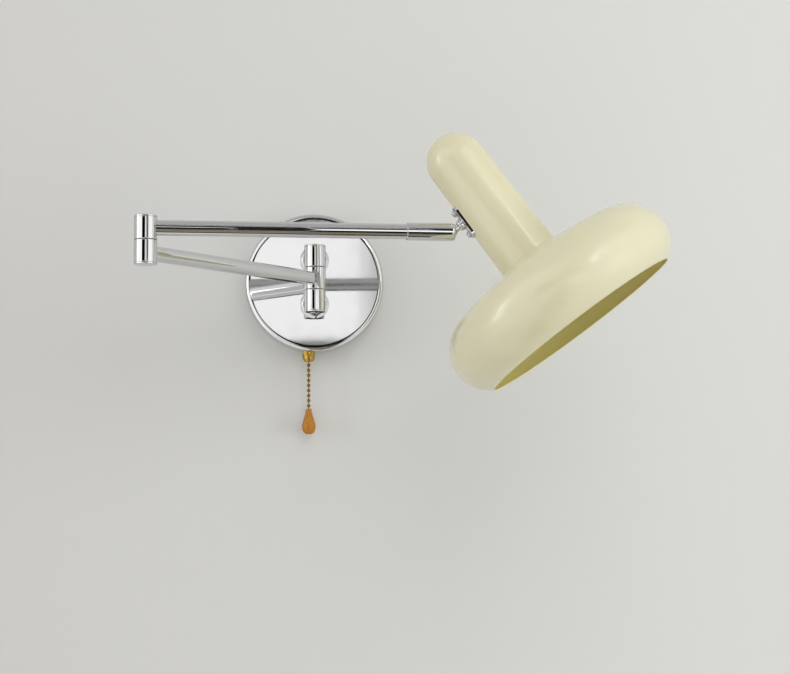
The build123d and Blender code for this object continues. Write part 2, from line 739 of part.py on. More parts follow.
def holder_contact():
    ceiling = HOLDER_FOOT_H + HOLDER_WELL
    return SHADE * rod(4, ceiling - 1.6, ceiling)


def bulb_cap():
    """The screw cap, with its thread as a wave of rings, and the tip contact."""
    low = HOLDER_FOOT_H + 6
    crest_r, root_r = CAP_R, CAP_R - 1.0
    points = [(0, low), (root_r, low)]
    for turn in range(CAP_TURNS):
        points.append((crest_r, low + CAP_PITCH * (turn + 0.5)))
        points.append((root_r, low + CAP_PITCH * (turn + 1)))
    top = low + CAP_PITCH * CAP_TURNS
    points += [(11.5, top + 1.5), (5, top + 3.6), (4.5, top + 4.6), (0, top + 4.6)]
    return SHADE * lathe(*points)


def bulb_collar():
    rim = math.sqrt(GLOBE_R ** 2 - (COLLAR_H - GLOBE_H) ** 2)
    top = HOLDER_FOOT_H + 5.95
    return SHADE * lathe(
        (0, COLLAR_H + 1.7), (rim - 1.4, COLLAR_H + 1.7), (rim - 1.4, COLLAR_H), (rim, COLLAR_H),
        (rim + 0.8, COLLAR_H + 2.0), (14.6, top - 8), (13.0, top - 4), (13.0, top), (0, top),
    )


def bulb_globe():
    shell = Sphere(GLOBE_R) - Sphere(GLOBE_R - GLOBE_WALL)
    lid = rod(GLOBE_R + 1, COLLAR_H - GLOBE_H, GLOBE_R + 2)
    return SHADE * Pos(0, 0, GLOBE_H) * (shell - lid)


def led_board():
    return SHADE * rod(LED_BOARD_R, COLLAR_H + 0.2, COLLAR_H + 1.65)


def shade_cable():
    """The lead from the stud's bore, over and down into the holder."""
    x = STUD_END - NECK_AXIS
    top = STRAP_H + 12
    route = FilletPolyline(
        (x - 6, 0, STRAP_H), (-10.5, 0, STRAP_H), (-8, 0, top), (0, 0, top), (0, 0, HOLDER_TOP_H + 2),
        radius=[2.6, 3.2, 3.2],
    )
    section = Plane(origin=route @ 0, z_dir=route % 0) * Circle(LEAD_R)
    return SHADE * sweep(section, path=route)


# ---- pull switch ----
SWITCH_FLOOR = -54.0
SPRING_ROOM = 8.0
SWITCH_BORE_R = 3.0
SWITCH_HEAD_R = 2.6
ROD_R = 1.5
ROD_CUP_R = 2.2
SPRING_R = 2.15
SPRING_WIRE_R = 0.25
BELL_TOP = -58.5
BELL_FOOT = -68.2
ROD_END = -65.2
FIRST_BEAD = -67.0
PENDANT_TOP = -109.2
PENDANT_FOOT = -131.3


def switch_body():
    body = Pos(0, 0, SWITCH_FLOOR + 10) * Box(24, 13, 20)
    body = fillet(body.edges().filter_by(Axis.Z), 2)
    return SWITCH * (body - rod(SWITCH_BORE_R, SWITCH_FLOOR - 1, SWITCH_FLOOR + 13))


def switch_neck():
    bore = ROD_R + 0.2
    neck = ring(SWITCH_NECK_R, bore, SWITCH_FLOOR - 10, SWITCH_FLOOR)
    return SWITCH * (neck + ring(5.5, bore, SWITCH_FLOOR - 3.4, SWITCH_FLOOR))


def switch_bell():
    """The brass bell nut, seated on the curve of the rim."""
    thread_r = SWITCH_NECK_R + 0.05
    bell = lathe(
        (thread_r, BELL_TOP), (5.5, BELL_TOP), (5.5, -62.6), (5.0, -63.0), (5.2, -64.4),
        (4.9, -66.2), (4.1, -67.6), (3.6, BELL_FOOT), (2.9, BELL_FOOT), (2.9, -65.0),
        (thread_r, -64.4),
    )
    flutes = Part()
    for step in range(12):
        flutes += Rot(0, 0, step * 30) * Pos(6.0, 0, 0) * rod(0.8, -62.2, BELL_TOP + 1)
    rim = Pos(-SWITCH_X, SWITCH_OUT, 0) * Rot(90, 0, 0) * rod(PLATE_R + 0.02, -1, PLATE_DEPTH)
    return SWITCH * (bell - flutes - rim)


def pull_rod():
    """The switch's rod. The cup on its end holds the chain's first bead."""
    head = SWITCH_FLOOR + SPRING_ROOM
    shaft = rod(ROD_R, ROD_END, head + 1) + rod(SWITCH_HEAD_R, head, head + 2)
    foot = FIRST_BEAD - 1.0
    cup = lathe(
        (0, ROD_END), (ROD_R, ROD_END), (ROD_CUP_R, ROD_END - 0.6), (ROD_CUP_R, foot + 0.3),
        (ROD_CUP_R - 0.3, foot), (0, foot),
    )
    cup -= Pos(0, 0, FIRST_BEAD) * Sphere(BEAD_R + FIT)
    return SWITCH * (shaft + cup)


def switch_spring():
    """The return spring round the rod, between the neck and the rod's head."""
    low = SWITCH_FLOOR + SPRING_WIRE_R + 0.05
    height = SPRING_ROOM - 2 * SPRING_WIRE_R - 0.1
    coil = Helix(pitch=height / 4.5, height=height, radius=SPRING_R)
    section = Plane(origin=coil @ 0, z_dir=coil % 0) * Circle(SPRING_WIRE_R)
    return SWITCH * Pos(0, 0, low) * sweep(section, path=coil, is_frenet=True)


def pull_chain():
    chain = rod(CHAIN_WIRE_R, PENDANT_TOP + 0.1, FIRST_BEAD)
    for step in range(CHAIN_BEADS):
        chain += Pos(0, 0, FIRST_BEAD - CHAIN_PITCH * step) * Sphere(BEAD_R)
    return SWITCH * chain


def chain_cup():
    """The small brass cup that holds the chain's end in the pendant."""
    return SWITCH * lathe(
        (0, PENDANT_TOP), (0, PENDANT_TOP - CUP_DEPTH), (CUP_R, PENDANT_TOP - CUP_DEPTH),
        (CUP_R, PENDANT_TOP - 0.2), (CUP_R + 0.3, PENDANT_TOP - 0.2), (CUP_R + 0.3, PENDANT_TOP),
    )


def pull_pendant():
    """The turned wooden drop, with a dished top and its widest part low down."""
    top, foot = PENDANT_TOP - 0.2, PENDANT_FOOT
    p = outline_point
    waist = Spline(
        p(2.6, top - 0.4), p(3.3, top - 5), p(5.1, top - 11), p(5.95, top - 15.4),
        p(5.0, top - 19.6), p(3.0, foot + 0.5),
    )
    drop = lathe_edges(
        Line(p(0, top), p(2.2, top)),
        Line(p(2.2, top), p(2.6, top - 0.4)),
        waist,
        Line(p(3.0, foot + 0.5), p(1.6, foot)),
        Line(p(1.6, foot), p(0, foot)),
        Line(p(0, foot), p(0, top)),
    )
    return SWITCH * (drop - rod(CUP_R + 0.02, PENDANT_TOP - CUP_DEPTH - 0.05, top + 1))


def supply_wires():
    """Two wires from the block's outer poles, down and forward into the lower stem."""
    wires = []
    for side in (-1, 1):
        outer, inner = side * TERMINAL_PITCH, side * 1.4
        route = FilletPolyline(
            (outer, -4.5, WIRE_WAY_OUT), (outer, -11, WIRE_WAY_OUT),
            (inner, -BARREL_PITCH, WIRE_WAY_OUT), (inner, -BARREL_PITCH, 36),
            radius=[3.0, 3.0],
        )
        section = Plane(origin=route @ 0, z_dir=route % 0) * Circle(WIRE_R)
        wires.append(sweep(section, path=route))
    return WALL * Compound(children=wires)


# ---- build ----
NODES = {
    "canopy": canopy,
    "wall_bracket": wall_bracket,
    "canopy_screws": canopy_screws,
    "terminal_block": terminal_block,
    "terminal_screws": terminal_screws,
    "earth_screw": earth_screw,
    "supply_wires": supply_wires,
    "upper_stem": lambda: stem(1),
    "lower_stem": lambda: stem(-1),
    "stem_flanges": stem_flanges,
    "stem_nuts": stem_nuts,
    "upper_hub_knuckle": upper_hub_knuckle,
    "lower_hub_knuckle": lower_hub_knuckle,
    "hub_pin": hub_pin,
    "hub_ring_nuts": hub_ring_nuts,
    "hub_washers": hub_washers,
    "hub_cap_top": lambda: HUB * cap(HUB_TOP - CAP_T, True),
    "hub_cap_bottom": lambda: HUB * cap(CAP_T - HUB_TOP, False),
    "switch_body": switch_body,
    "switch_neck": switch_neck,
    "switch_bell": switch_bell,
    "switch_spring": switch_spring,
    "arm_1_hub_knuckle": arm_1_hub_knuckle,
    "arm_1_tube": arm_1_tube,
    "arm_1_elbow_knuckle": arm_1_elbow_knuckle,
    "arm_1_cable": arm_1_cable,
    "elbow_pin": elbow_pin,
    "elbow_ring_nuts": elbow_ring_nuts,
    "elbow_washer": elbow_washer,
    "elbow_cap_bottom": lambda: ARM_1_BACK * cap(CAP_T - HALF, False),
    "elbow_cap_top": lambda: ARM_1_BACK * cap(HUB_TOP - CAP_T, True),
    "arm_2_knuckle": arm_2_knuckle,
    "arm_2_tube": arm_2_tube,
    "arm_2_end_bush": arm_2_end_bush,
    "arm_2_cable": arm_2_cable,
    "sleeve_clip": sleeve_clip,
    "socket_sleeve": socket_sleeve,
    "ball_seat": ball_seat,
    "seat_springs": seat_springs,
    "ball_stud": ball_stud,
    "stud_nut": stud_nut,
    "shade_strap": shade_strap,
    "strap_screws": strap_screws,
    "neck_shell": neck_shell,
    "shade_shell": shade_shell,
    "holder_bracket": holder_bracket,
    "lamp_holder": lamp_holder,
    "holder_shell": holder_shell,
    "holder_nut": holder_nut,
    "holder_contact": holder_contact,
    "bulb_cap": bulb_cap,
    "bulb_collar": bulb_collar,
    "bulb_globe": bulb_globe,
    "led_board": led_board,
    "shade_cable": shade_cable,
    "pull_rod": pull_rod,
    "pull_chain": pull_chain,
    "chain_cup": chain_cup,
    "pull_pendant": pull_pendant,
}

os.makedirs("parts", exist_ok=True)
for name, make in NODES.items():
    export(name, make())
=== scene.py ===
import json
import math

import bpy
from mathutils import Matrix, Vector


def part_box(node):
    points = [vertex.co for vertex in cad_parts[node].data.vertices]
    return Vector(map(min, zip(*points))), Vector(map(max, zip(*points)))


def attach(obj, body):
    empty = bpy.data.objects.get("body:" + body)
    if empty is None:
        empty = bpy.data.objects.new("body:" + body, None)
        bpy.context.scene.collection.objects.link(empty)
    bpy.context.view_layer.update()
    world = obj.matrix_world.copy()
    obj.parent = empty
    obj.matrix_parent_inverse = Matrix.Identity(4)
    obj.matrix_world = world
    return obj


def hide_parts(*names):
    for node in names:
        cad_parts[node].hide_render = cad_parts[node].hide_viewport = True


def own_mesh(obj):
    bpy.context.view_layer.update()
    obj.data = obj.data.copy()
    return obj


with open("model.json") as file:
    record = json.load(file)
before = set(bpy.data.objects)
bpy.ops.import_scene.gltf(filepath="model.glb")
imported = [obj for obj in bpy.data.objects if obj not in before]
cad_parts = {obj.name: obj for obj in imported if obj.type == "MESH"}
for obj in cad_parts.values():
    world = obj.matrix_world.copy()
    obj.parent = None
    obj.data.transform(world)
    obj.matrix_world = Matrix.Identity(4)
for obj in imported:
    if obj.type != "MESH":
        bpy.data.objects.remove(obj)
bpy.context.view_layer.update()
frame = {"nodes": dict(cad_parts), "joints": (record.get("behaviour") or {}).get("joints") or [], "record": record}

bl_info = {
    "name": "Accordion Wall Lamp",
    "version": (1, 0, 0),
    "blender": (4, 5, 0),
    "location": "View3D > Sidebar > Lamp",
    "description": "Wall lamp with two folding arms, a ball joint, a ring-shaped shade and a pull switch",
    "category": "Add Mesh",
}

MM = 0.001

# ---- where the joints are, from the frame ----
JOINTS = {joint["name"]: joint for joint in frame["joints"]}
HUB = Vector(JOINTS["arm1_swing"]["pos_m"])
ELBOW = Vector(JOINTS["arm2_swing"]["pos_m"])
BALL = Vector(JOINTS["head_roll"]["pos_m"])
ARM_2_DIR = Vector(JOINTS["head_roll"]["axis"]).normalized()
STUD_DIR = Vector(JOINTS["head_turn"]["axis"]).normalized()
SLOT_UP = (STUD_DIR - ARM_2_DIR * STUD_DIR.dot(ARM_2_DIR)).normalized()
ARM_1_DIR = Vector((ELBOW.x - HUB.x, ELBOW.y - HUB.y, 0)).normalized()
ARM_1_LENGTH = math.hypot(ELBOW.x - HUB.x, ELBOW.y - HUB.y)
ARM_2_LENGTH = (BALL - ELBOW).length
CHAIN_TOP = Vector(JOINTS["chain_swing"]["pos_m"])
UP = Vector((0, 0, 1))
OUT_OF_WALL = Vector((0, -1, 0))
RIGHT = Vector((1, 0, 0))


# ---- sizes and colours a user may change ----
def length(name, default_mm, description):
    """A size in the properties, kept in metres."""
    return bpy.props.FloatProperty(
        name=name, description=description, default=default_mm * MM, min=0, precision=4,
        subtype="DISTANCE", unit="LENGTH",
    )


def turn(name, default_degrees, description):
    """An angle in the properties."""
    return bpy.props.FloatProperty(
        name=name, description=description, default=math.radians(default_degrees), subtype="ANGLE",
    )


def linear(value):
    """One 0 to 255 screen value as the linear value that the shaders use."""
    share = value / 255
    return share / 12.92 if share <= 0.04045 else ((share + 0.055) / 1.055) ** 2.4


def colour(name, screen, description):
    """A colour in the properties, from its 0 to 255 screen values."""
    return bpy.props.FloatVectorProperty(
        name=name, description=description, default=[linear(v) for v in screen], size=3,
        min=0, max=1, subtype="COLOR",
    )


def level(name, default, description, unit="NONE"):
    """A brightness from 0 up in the properties."""
    return bpy.props.FloatProperty(name=name, description=description, default=default, min=0, unit=unit)


PLATE_LOW, PLATE_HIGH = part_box("canopy")
BARREL_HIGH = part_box("upper_hub_knuckle")[1]


class LampPlateSizes(bpy.types.PropertyGroup):
    """Sizes of the wall plate and of the flanges on it."""
    radius: length("Plate radius", PLATE_HIGH.x / MM, "Half the width of the wall plate")
    depth: length("Plate depth", -PLATE_LOW.y / MM, "How far the plate's face stands off the wall")
    edge: length("Edge rounding", 4.0, "Radius of the plate's front edge")
    sheet: length("Sheet", 1.2, "Thickness of the plate's metal")
    flange_radius: length("Flange radius", 12.5, "Half the width of the round flanges")
    flange_height: length("Flange height", 4.0, "Height of the flanges on the plate")
    stem_radius: length("Stem radius", 5.0, "Half the width of the stems behind the hub")


class LampArmSizes(bpy.types.PropertyGroup):
    """Sizes of the hub, the elbow and the two arms."""
    barrel_radius: length("Barrel radius", BARREL_HIGH.x / MM, "Half the width of the hinge barrels")
    barrel_pitch: length("Barrel pitch", 19.2, "Distance from one barrel's middle to the next")
    barrel_edge: length("Barrel edge", 0.4, "Rounding of the barrels' edges")
    cap: length("Cap", 1.5, "Thickness of the caps on the hub and the elbow")
    cap_edge: length("Cap edge", 0.7, "Rounding of the caps' edges")
    pin_bore: length("Pin bore", 4.05, "Radius of the bore for the hinge pin")
    tube_radius: length("Tube radius", 6.0, "Half the width of the arm tubes")
    tube_wall: length("Tube wall", 1.0, "Thickness of the arm tubes' metal")
    tube_start: length("Tube start", 7.3, "Distance from a hinge's axis to a tube's end")


class LampJointSizes(bpy.types.PropertyGroup):
    """Sizes of the ball joint."""
    sleeve_radius: length("Sleeve radius", 7.0, "Half the width of the sleeve that holds the ball")
    sleeve_length: length("Sleeve length", 35.4, "Length of the sleeve behind the ball's middle")
    sleeve_nose: length("Sleeve nose", 3.2, "How far the sleeve reaches past the ball's middle")
    nose_edge: length("Nose edge", 2.6, "Rounding of the sleeve's nose")
    groove_at: length("Groove", 25.8, "Distance of the sleeve's fine groove behind the ball")
    ball_radius: length("Ball radius", 5.0, "Radius of the ball")
    stud_radius: length("Stud radius", 3.0, "Half the width of the stud")
    stud_bore: length("Stud bore", 1.6, "Radius of the hole through the ball and the stud")
    stud_end: length("Stud end", 19.18, "How far the stud reaches from the ball's middle")
    slot_half: length("Slot half width", 3.15, "Half the width of the slot in the sleeve")
    strap_face: length("Strap face", 10.9, "Distance from the ball's middle to the strap")
    slot_low: turn("Slot start", -40, "Where the slot starts, from the arm's axis")
    slot_high: turn("Slot end", 70, "Where the slot ends, from the arm's axis")


class LampShadeSizes(bpy.types.PropertyGroup):
    """Sizes of the shade, its neck, its strap and the bulb, by height above the opening."""
    turned: turn("Shade turn", 4.8, "How far the shade is turned towards the room")
    radius: length("Shade radius", 100.0, "Half the width of the ring")
    sheet: length("Sheet", 1.2, "Thickness of the spun metal")
    bulge_radius: length("Bulge radius", 31.6, "Radius of the ring's rounded side")
    bulge_height: length("Bulge height", 27.0, "Height of the widest part of the ring")
    slope: turn("Slope", 10.9, "How steeply the ring falls away from the neck")
    neck_foot: length("Neck foot radius", 25.0, "Half the neck's width where it leaves the ring")
    neck_top: length("Neck top radius", 23.5, "Radius of the neck's round top")
    height: length("Shade height", 186.0, "Height of the neck's top")
    flange: length("Inner flange", 33.0, "Radius of the flange that carries the ring")
    axis_off: length("Axis distance", 37.0808, "Distance from the ball's middle to the shade's axis")
    strap_height: length("Strap height", 119.4, "Height of the strap and the stud")
    strap_length: length("Strap length", 28.0, "Length of the strap along the neck")
    strap_width: length("Strap width", 14.0, "Width of the strap")
    strap_sheet: length("Strap sheet", 2.0, "Thickness of the strap")
    screw_pitch: length("Screw pitch", 20.0, "Distance between the strap's two screws")
    holder_foot: length("Holder foot", 64.0, "Height of the lamp holder's open end")
    holder_top: length("Holder top", 112.4, "Height of the lamp holder's shoulder")
    globe_radius: length("Globe radius", 22.0, "Radius of the bulb")
    globe_height: length("Globe height", 38.0, "Height of the bulb's middle")
    collar_height: length("Collar height", 48.0, "Height where the bulb's globe meets its collar")


class LampSwitchSizes(bpy.types.PropertyGroup):
    """Sizes of the pull switch, its chain and its wooden drop, by depth below the plate's middle."""
    bell_top: length("Bell top", 58.9, "Depth of the bell nut's top below the plate's middle")
    bell_foot: length("Bell foot", 68.2, "Depth of the bell nut's foot")
    bell_radius: length("Bell radius", 5.5, "Half the width of the bell nut")
    bead_radius: length("Bead radius", 1.6, "Radius of the chain's beads")
    bead_pitch: length("Bead pitch", 4.4, "Distance from one bead to the next")
    wire_radius: length("Link radius", 0.5, "Half the width of the links between the beads")
    drop_top: length("Drop top", 109.4, "Depth of the wooden drop's top")
    drop_foot: length("Drop foot", 131.3, "Depth of the wooden drop's foot")
    drop_radius: length("Drop radius", 5.95, "Half the width of the wooden drop")


class LampColours(bpy.types.PropertyGroup):
    """Colours of the finishes and of the room, with painted light on the wall and inside the ring."""
    chrome: colour("Chrome", (210, 210, 211), "Bright plated metal")
    enamel: colour("Enamel", (221, 216, 183), "Cream enamel of the shade")
    enamel_deep: colour("Enamel, deeper", (217, 211, 176), "Thicker places in the enamel")
    # Warm bounce light painted onto the inside of the ring.
    bounce_tint_inside: colour("Painted bounce light, inside", (222, 213, 152), "Warm bounce light painted inside the ring")
    brass: colour("Brass", (180, 156, 82), "Turned brass")
    brass_deep: colour("Brass, deeper", (176, 132, 52), "Duller places in the brass")
    wood: colour("Wood", (190, 125, 12), "Varnished wood")
    wood_grain: colour("Wood grain", (150, 86, 8), "Dark lines of the grain")
    # The wall's two colours paint light onto it: the wall is painted brighter towards the right.
    wall: colour("Wall", (208, 207, 205), "Wall at the left")
    wall_painted_light: colour("Wall, brighter", (215, 216, 213), "Wall at the right")
    floor: colour("Floor", (226, 225, 222), "Pale floor")


class LampLightLevels(bpy.types.PropertyGroup):
    """How bright the studio is."""
    room: level("Room", 0.68, "Light from all round")
    mirrored: level("Mirrored room", 0.98, "The room as the plated metal shows it")
    key: level("Key lamp", 24.0, "Watts of the soft lamp from the upper right", "POWER")
    side: level("Side lamp", 9.0, "Watts of the tall soft lamp at the left", "POWER")
    fill: level("Fill lamp", 13.0, "Watts of the soft lamp from the lower right", "POWER")


# ---- outlines ----
def arc(radius_at, height_at, radius, start, end, steps):
    """Points of a circle's arc in an outline. Angles are in degrees from the outward direction."""
    angles = [math.radians(start + (end - start) * step / steps) for step in range(steps + 1)]
    return [(radius_at + radius * math.cos(a), height_at + radius * math.sin(a)) for a in angles]


def corner(before, here, after, radius, steps):
    """The points that round one corner of an outline, with one more each side to keep flats flat."""
    a, b, c = Vector(before[:2]), Vector(here[:2]), Vector(after[:2])
    back, ahead = (a - b), (c - b)
    half = back.angle(ahead) / 2
    reach = radius / math.tan(half)
    centre = b + (back.normalized() + ahead.normalized()).normalized() * (radius / math.sin(half))
    start = b + back.normalized() * reach
    swing = (start - centre).angle_signed(b + ahead.normalized() * reach - centre)
    points = [start + back.normalized() * min(0.3 * radius, 0.4 * (back.length - reach))]
    for step in range(steps + 1):
        points.append(centre + Matrix.Rotation(-swing * step / steps, 2) @ (start - centre))
    end = points[-1]
    points.append(end + ahead.normalized() * min(0.3 * radius, 0.4 * (ahead.length - reach)))
    return [(p.x, p.y) for p in points]


def outline(*points, closed=True, steps=4):
    """An outline of (radius, height) points. A third number rounds that corner."""
    line = []
    for place, point in enumerate(points):
        if len(point) == 3:
            line += corner(points[place - 1], point, points[(place + 1) % len(points)], point[2], steps)
        else:
            line.append(point)
    return line + line[:1] if closed else line


def flowing(points, steps=6):
    """A smooth curve through outline points."""
    line = []
    padded = [points[0]] + list(points) + [points[-1]]
    for a, b, c, d in zip(padded, padded[1:], padded[2:], padded[3:]):
        for step in range(steps):
            t = step / steps
            line.append(tuple(
                0.5 * (2 * q + (r - p) * t + (2 * p - 5 * q + 4 * r - s) * t ** 2 + (3 * q - p - 3 * r + s) * t ** 3)
                for p, q, r, s in zip(a, b, c, d)
            ))
    return line + [points[-1]]


# ---- shaping ----
MERGE = 0.002 * MM


def only(piece=None):
    """Leaves edit mode and selects this piece alone."""
    if bpy.context.object and bpy.context.object.mode != "OBJECT":
        bpy.ops.object.mode_set(mode="OBJECT")
    bpy.ops.object.select_all(action="DESELECT")
    if piece:
        piece.select_set(True)
        bpy.context.view_layer.objects.active = piece


def smooth(piece, degrees=32):
    """Shades a piece smooth, and keeps its real edges sharp."""
    only(piece)
    bpy.ops.object.shade_smooth_by_angle(angle=math.radians(degrees))


def turned(name, line, steps=64, sweep=360.0):
    """Turns an outline about Z, as on a lathe, into a closed piece."""
    only()
    bpy.ops.mesh.primitive_plane_add(size=MM)
    piece = bpy.context.object
    piece.name = piece.data.name = name
    bpy.ops.object.mode_set(mode="EDIT")
    bpy.ops.mesh.select_mode(type="VERT")
    bpy.ops.mesh.merge(type="CENTER")
    bpy.ops.transform.translate(value=(line[0][0], 0, line[0][1]))
    for (radius, height), (next_radius, next_height) in zip(line, line[1:]):
        step = (next_radius - radius, 0, next_height - height)
        bpy.ops.mesh.extrude_vertices_move(TRANSFORM_OT_translate={"value": step})
    bpy.ops.mesh.select_all(action="SELECT")
    bpy.ops.mesh.spin(steps=steps, angle=math.radians(sweep), center=(0, 0, 0), axis=(0, 0, -1))
    bpy.ops.mesh.select_all(action="SELECT")
    bpy.ops.mesh.remove_doubles(threshold=MERGE)
    if sweep < 360:
        bpy.ops.mesh.fill_holes(sides=0)
        bpy.ops.mesh.select_all(action="SELECT")
    bpy.ops.mesh.normals_make_consistent(inside=False)
    smooth(piece)
    return piece


def standing(origin, up, side=RIGHT):
    """The place of a piece made at the origin: its Z goes along up, and its X near side."""
    z = Vector(up).normalized()
    x = Vector(side)
    x = (x - z * x.dot(z)).normalized()
    place = Matrix((x, z.cross(x), z)).transposed().to_4x4()
    place.translation = origin
    return place


def move_to(piece, place):
    """Puts a piece in its place and keeps the place in its mesh."""
    only(piece)
    piece.matrix_world = place
    bpy.ops.object.transform_apply(location=True, rotation=True, scale=True)
    return piece


def carve(piece, tool, operation="DIFFERENCE"):
    """Cuts a piece with another, or keeps what the two share."""
    only(piece)
    step = piece.modifiers.new("carve", "BOOLEAN")
    step.operation, step.solver, step.object = operation, "EXACT", tool
    bpy.ops.object.modifier_apply(modifier=step.name)
    bpy.data.objects.remove(tool)
    smooth(piece)
    return piece


def soften(piece, width, segments=2, degrees=40):
    """Rounds a piece's sharp edges a little."""
    only(piece)
    step = piece.modifiers.new("soften", "BEVEL")
    step.width, step.segments, step.limit_method = width, segments, "ANGLE"
    step.angle_limit = math.radians(degrees)
    bpy.ops.object.modifier_apply(modifier=step.name)
    smooth(piece)
    return piece


def again(piece, shift):
    """A copy of a piece with its own mesh, moved by a shift."""
    only(piece)
    bpy.ops.object.duplicate(linked=False)
    bpy.ops.transform.translate(value=shift)
    twin = bpy.context.object
    only(twin)
    bpy.ops.object.transform_apply(location=True, rotation=True, scale=True)
    return twin


def joined(name, pieces):
    """One piece from several."""
    only(pieces[0])
    for piece in pieces:
        piece.select_set(True)
    bpy.ops.object.join()
    pieces[0].name = pieces[0].data.name = name
    return pieces[0]


def block(middle, size, turned_by=0):
    """A plain block to cut with. Its turn about Z is in degrees."""
    only()
    bpy.ops.mesh.primitive_cube_add(size=1, location=middle, rotation=(0, 0, math.radians(turned_by)))
    tool = bpy.context.object
    tool.scale = size
    bpy.ops.object.transform_apply(location=True, rotation=True, scale=True)
    return tool


def select_edges(piece):
    """Goes into edit mode with the edges that are marked selected, and nothing else."""
    chosen = [edge.index for edge in piece.data.edges if edge.select]
    only(piece)
    bpy.ops.object.mode_set(mode="EDIT")
    bpy.ops.mesh.select_mode(type="EDGE")
    bpy.ops.mesh.select_all(action="DESELECT")
    bpy.ops.object.mode_set(mode="OBJECT")
    for index in chosen:
        piece.data.edges[index].select = True
    bpy.ops.object.mode_set(mode="EDIT")


def fit(piece, body, slot, *nodes):
    """Gives a piece its finish and its body, and hides the solids that it stands for."""
    piece.data.materials.clear()
    piece.data.materials.append(finish(slot))
    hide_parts(*nodes)
    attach(piece, body)
    return piece


# ---- finishes ----
class Mix:
    """A finish that is being mixed: its node tree, its shader and its Object coordinates."""

    def __init__(self, name):
        self.material = bpy.data.materials.new(name)
        self.material.use_nodes = True
        self.tree = self.material.node_tree
        self.shader = self.tree.nodes["Principled BSDF"]
        self.coords = self.tree.nodes.new("ShaderNodeTexCoord").outputs["Object"]

    def link(self, output, target):
        self.tree.links.new(output, target)

    def mapped(self, scale=(1, 1, 1), rotation=(0, 0, 0), location=(0, 0, 0)):
        """Object coordinates, stretched and turned for a pattern."""
        node = self.tree.nodes.new("ShaderNodeMapping")
        node.inputs["Scale"].default_value = scale
        node.inputs["Rotation"].default_value = rotation
        node.inputs["Location"].default_value = location
        self.link(self.coords, node.inputs["Vector"])
        return node.outputs["Vector"]

    def noise(self, scale, detail=3.0, vector=None, distortion=0.0):
        """A soft random pattern from 0 to 1."""
        node = self.tree.nodes.new("ShaderNodeTexNoise")
        node.inputs["Scale"].default_value = scale
        node.inputs["Detail"].default_value = detail
        node.inputs["Distortion"].default_value = distortion
        self.link(vector or self.coords, node.inputs["Vector"])
        return node.outputs["Fac"]

    def spread(self, value, low, high, start=0.3, end=0.7):
        """A pattern's values, stretched to run from low to high."""
        node = self.tree.nodes.new("ShaderNodeMapRange")
        for key, number in (("From Min", start), ("From Max", end), ("To Min", low), ("To Max", high)):
            node.inputs[key].default_value = number
        self.link(value, node.inputs["Value"])
        return node.outputs["Result"]

    def between(self, share, first, second):
        """A colour between two, by a pattern's share. Each is a plain colour or another mix's output."""
        node = self.tree.nodes.new("ShaderNodeMix")
        node.data_type = "RGBA"
        for socket, value in (("A", first), ("B", second)):
            found = [s for s in node.inputs if s.name == socket and s.type == "RGBA"][0]
            if isinstance(value, bpy.types.NodeSocket):
                self.link(value, found)
            else:
                found.default_value = (*value, 1)
        self.link(share, [s for s in node.inputs if s.name == "Factor" and s.type == "VALUE"][0])
        return [s for s in node.outputs if s.type == "RGBA"][0]

    def math(self, operation, first, second):
        """One sum of a pattern's value and a number, or of two patterns' values."""
        node = self.tree.nodes.new("ShaderNodeMath")
        node.operation = operation
        self.link(first, node.inputs[0])
        if isinstance(second, float):
            node.inputs[1].default_value = second
        else:
            self.link(second, node.inputs[1])
        return node.outputs[0]

    def relief(self, height, distance, strength=1.0):
        """Raises and lowers the surface by a pattern."""
        node = self.tree.nodes.new("ShaderNodeBump")
        node.inputs["Strength"].default_value = strength
        node.inputs["Distance"].default_value = distance
        self.link(height, node.inputs["Height"])
        self.link(node.outputs["Normal"], self.shader.inputs["Normal"])

    def tint(self, first, second, scale, detail=3.0, vector=None):
        """Two close colours, in soft clouds."""
        share = self.spread(self.noise(scale, detail, vector), 0, 1)
        self.link(self.between(share, first, second), self.shader.inputs["Base Color"])

    def gloss(self, low, high, scale, detail=4.0, vector=None):
        """A roughness that wanders between two values."""
        value = self.spread(self.noise(scale, detail, vector), low, high)
        self.link(value, self.shader.inputs["Roughness"])

    def even(self, **values):
        """Values that are the same all over the surface."""
        for key, value in values.items():
            self.shader.inputs[key.replace("_", " ")].default_value = value


def darker(shade, share):
    """A colour made darker by a share."""
    return [value * share for value in shade]


def mix_chrome(mix, colours):
    """Bright plate: a mirror with the faintest ripple and wiped haze."""
    mix.tint(colours.chrome, darker(colours.chrome, 0.965), 22)
    mix.gloss(0.028, 0.065, 55)
    mix.relief(mix.noise(260, 2), 0.0016 * MM)
    mix.even(Metallic=1.0)


def mix_zinc(mix, colours):
    """Zinc plate on steel: grey, a little dull and spangled."""
    mix.tint((0.46, 0.47, 0.49), (0.60, 0.60, 0.61), 340, 5)
    mix.gloss(0.24, 0.42, 420)
    mix.relief(mix.noise(900, 3), 0.004 * MM)
    mix.even(Metallic=1.0)


def mix_brass(mix, colours):
    """Turned brass with fine turning lines and slightly duller places."""
    mix.tint(colours.brass, colours.brass_deep, 190, 4)
    mix.gloss(0.14, 0.26, 300)
    lines = mix.noise(260, 2, mix.mapped((1, 1, 16)))
    mix.relief(lines, 0.006 * MM)
    mix.even(Metallic=1.0)


def mix_chain(mix, colours):
    """Rolled brass beads, painted darker and browner than the turned brass as shade on and between the small beads.
    """
    # Painted shade: the brass colours are darkened to 0.62 and 0.5 of their value.
    mix.tint(darker(colours.brass, 0.62), darker(colours.brass_deep, 0.5), 900, 2)
    mix.gloss(0.16, 0.28, 700)
    mix.relief(mix.noise(1500, 2), 0.005 * MM)
    mix.even(Metallic=1.0)


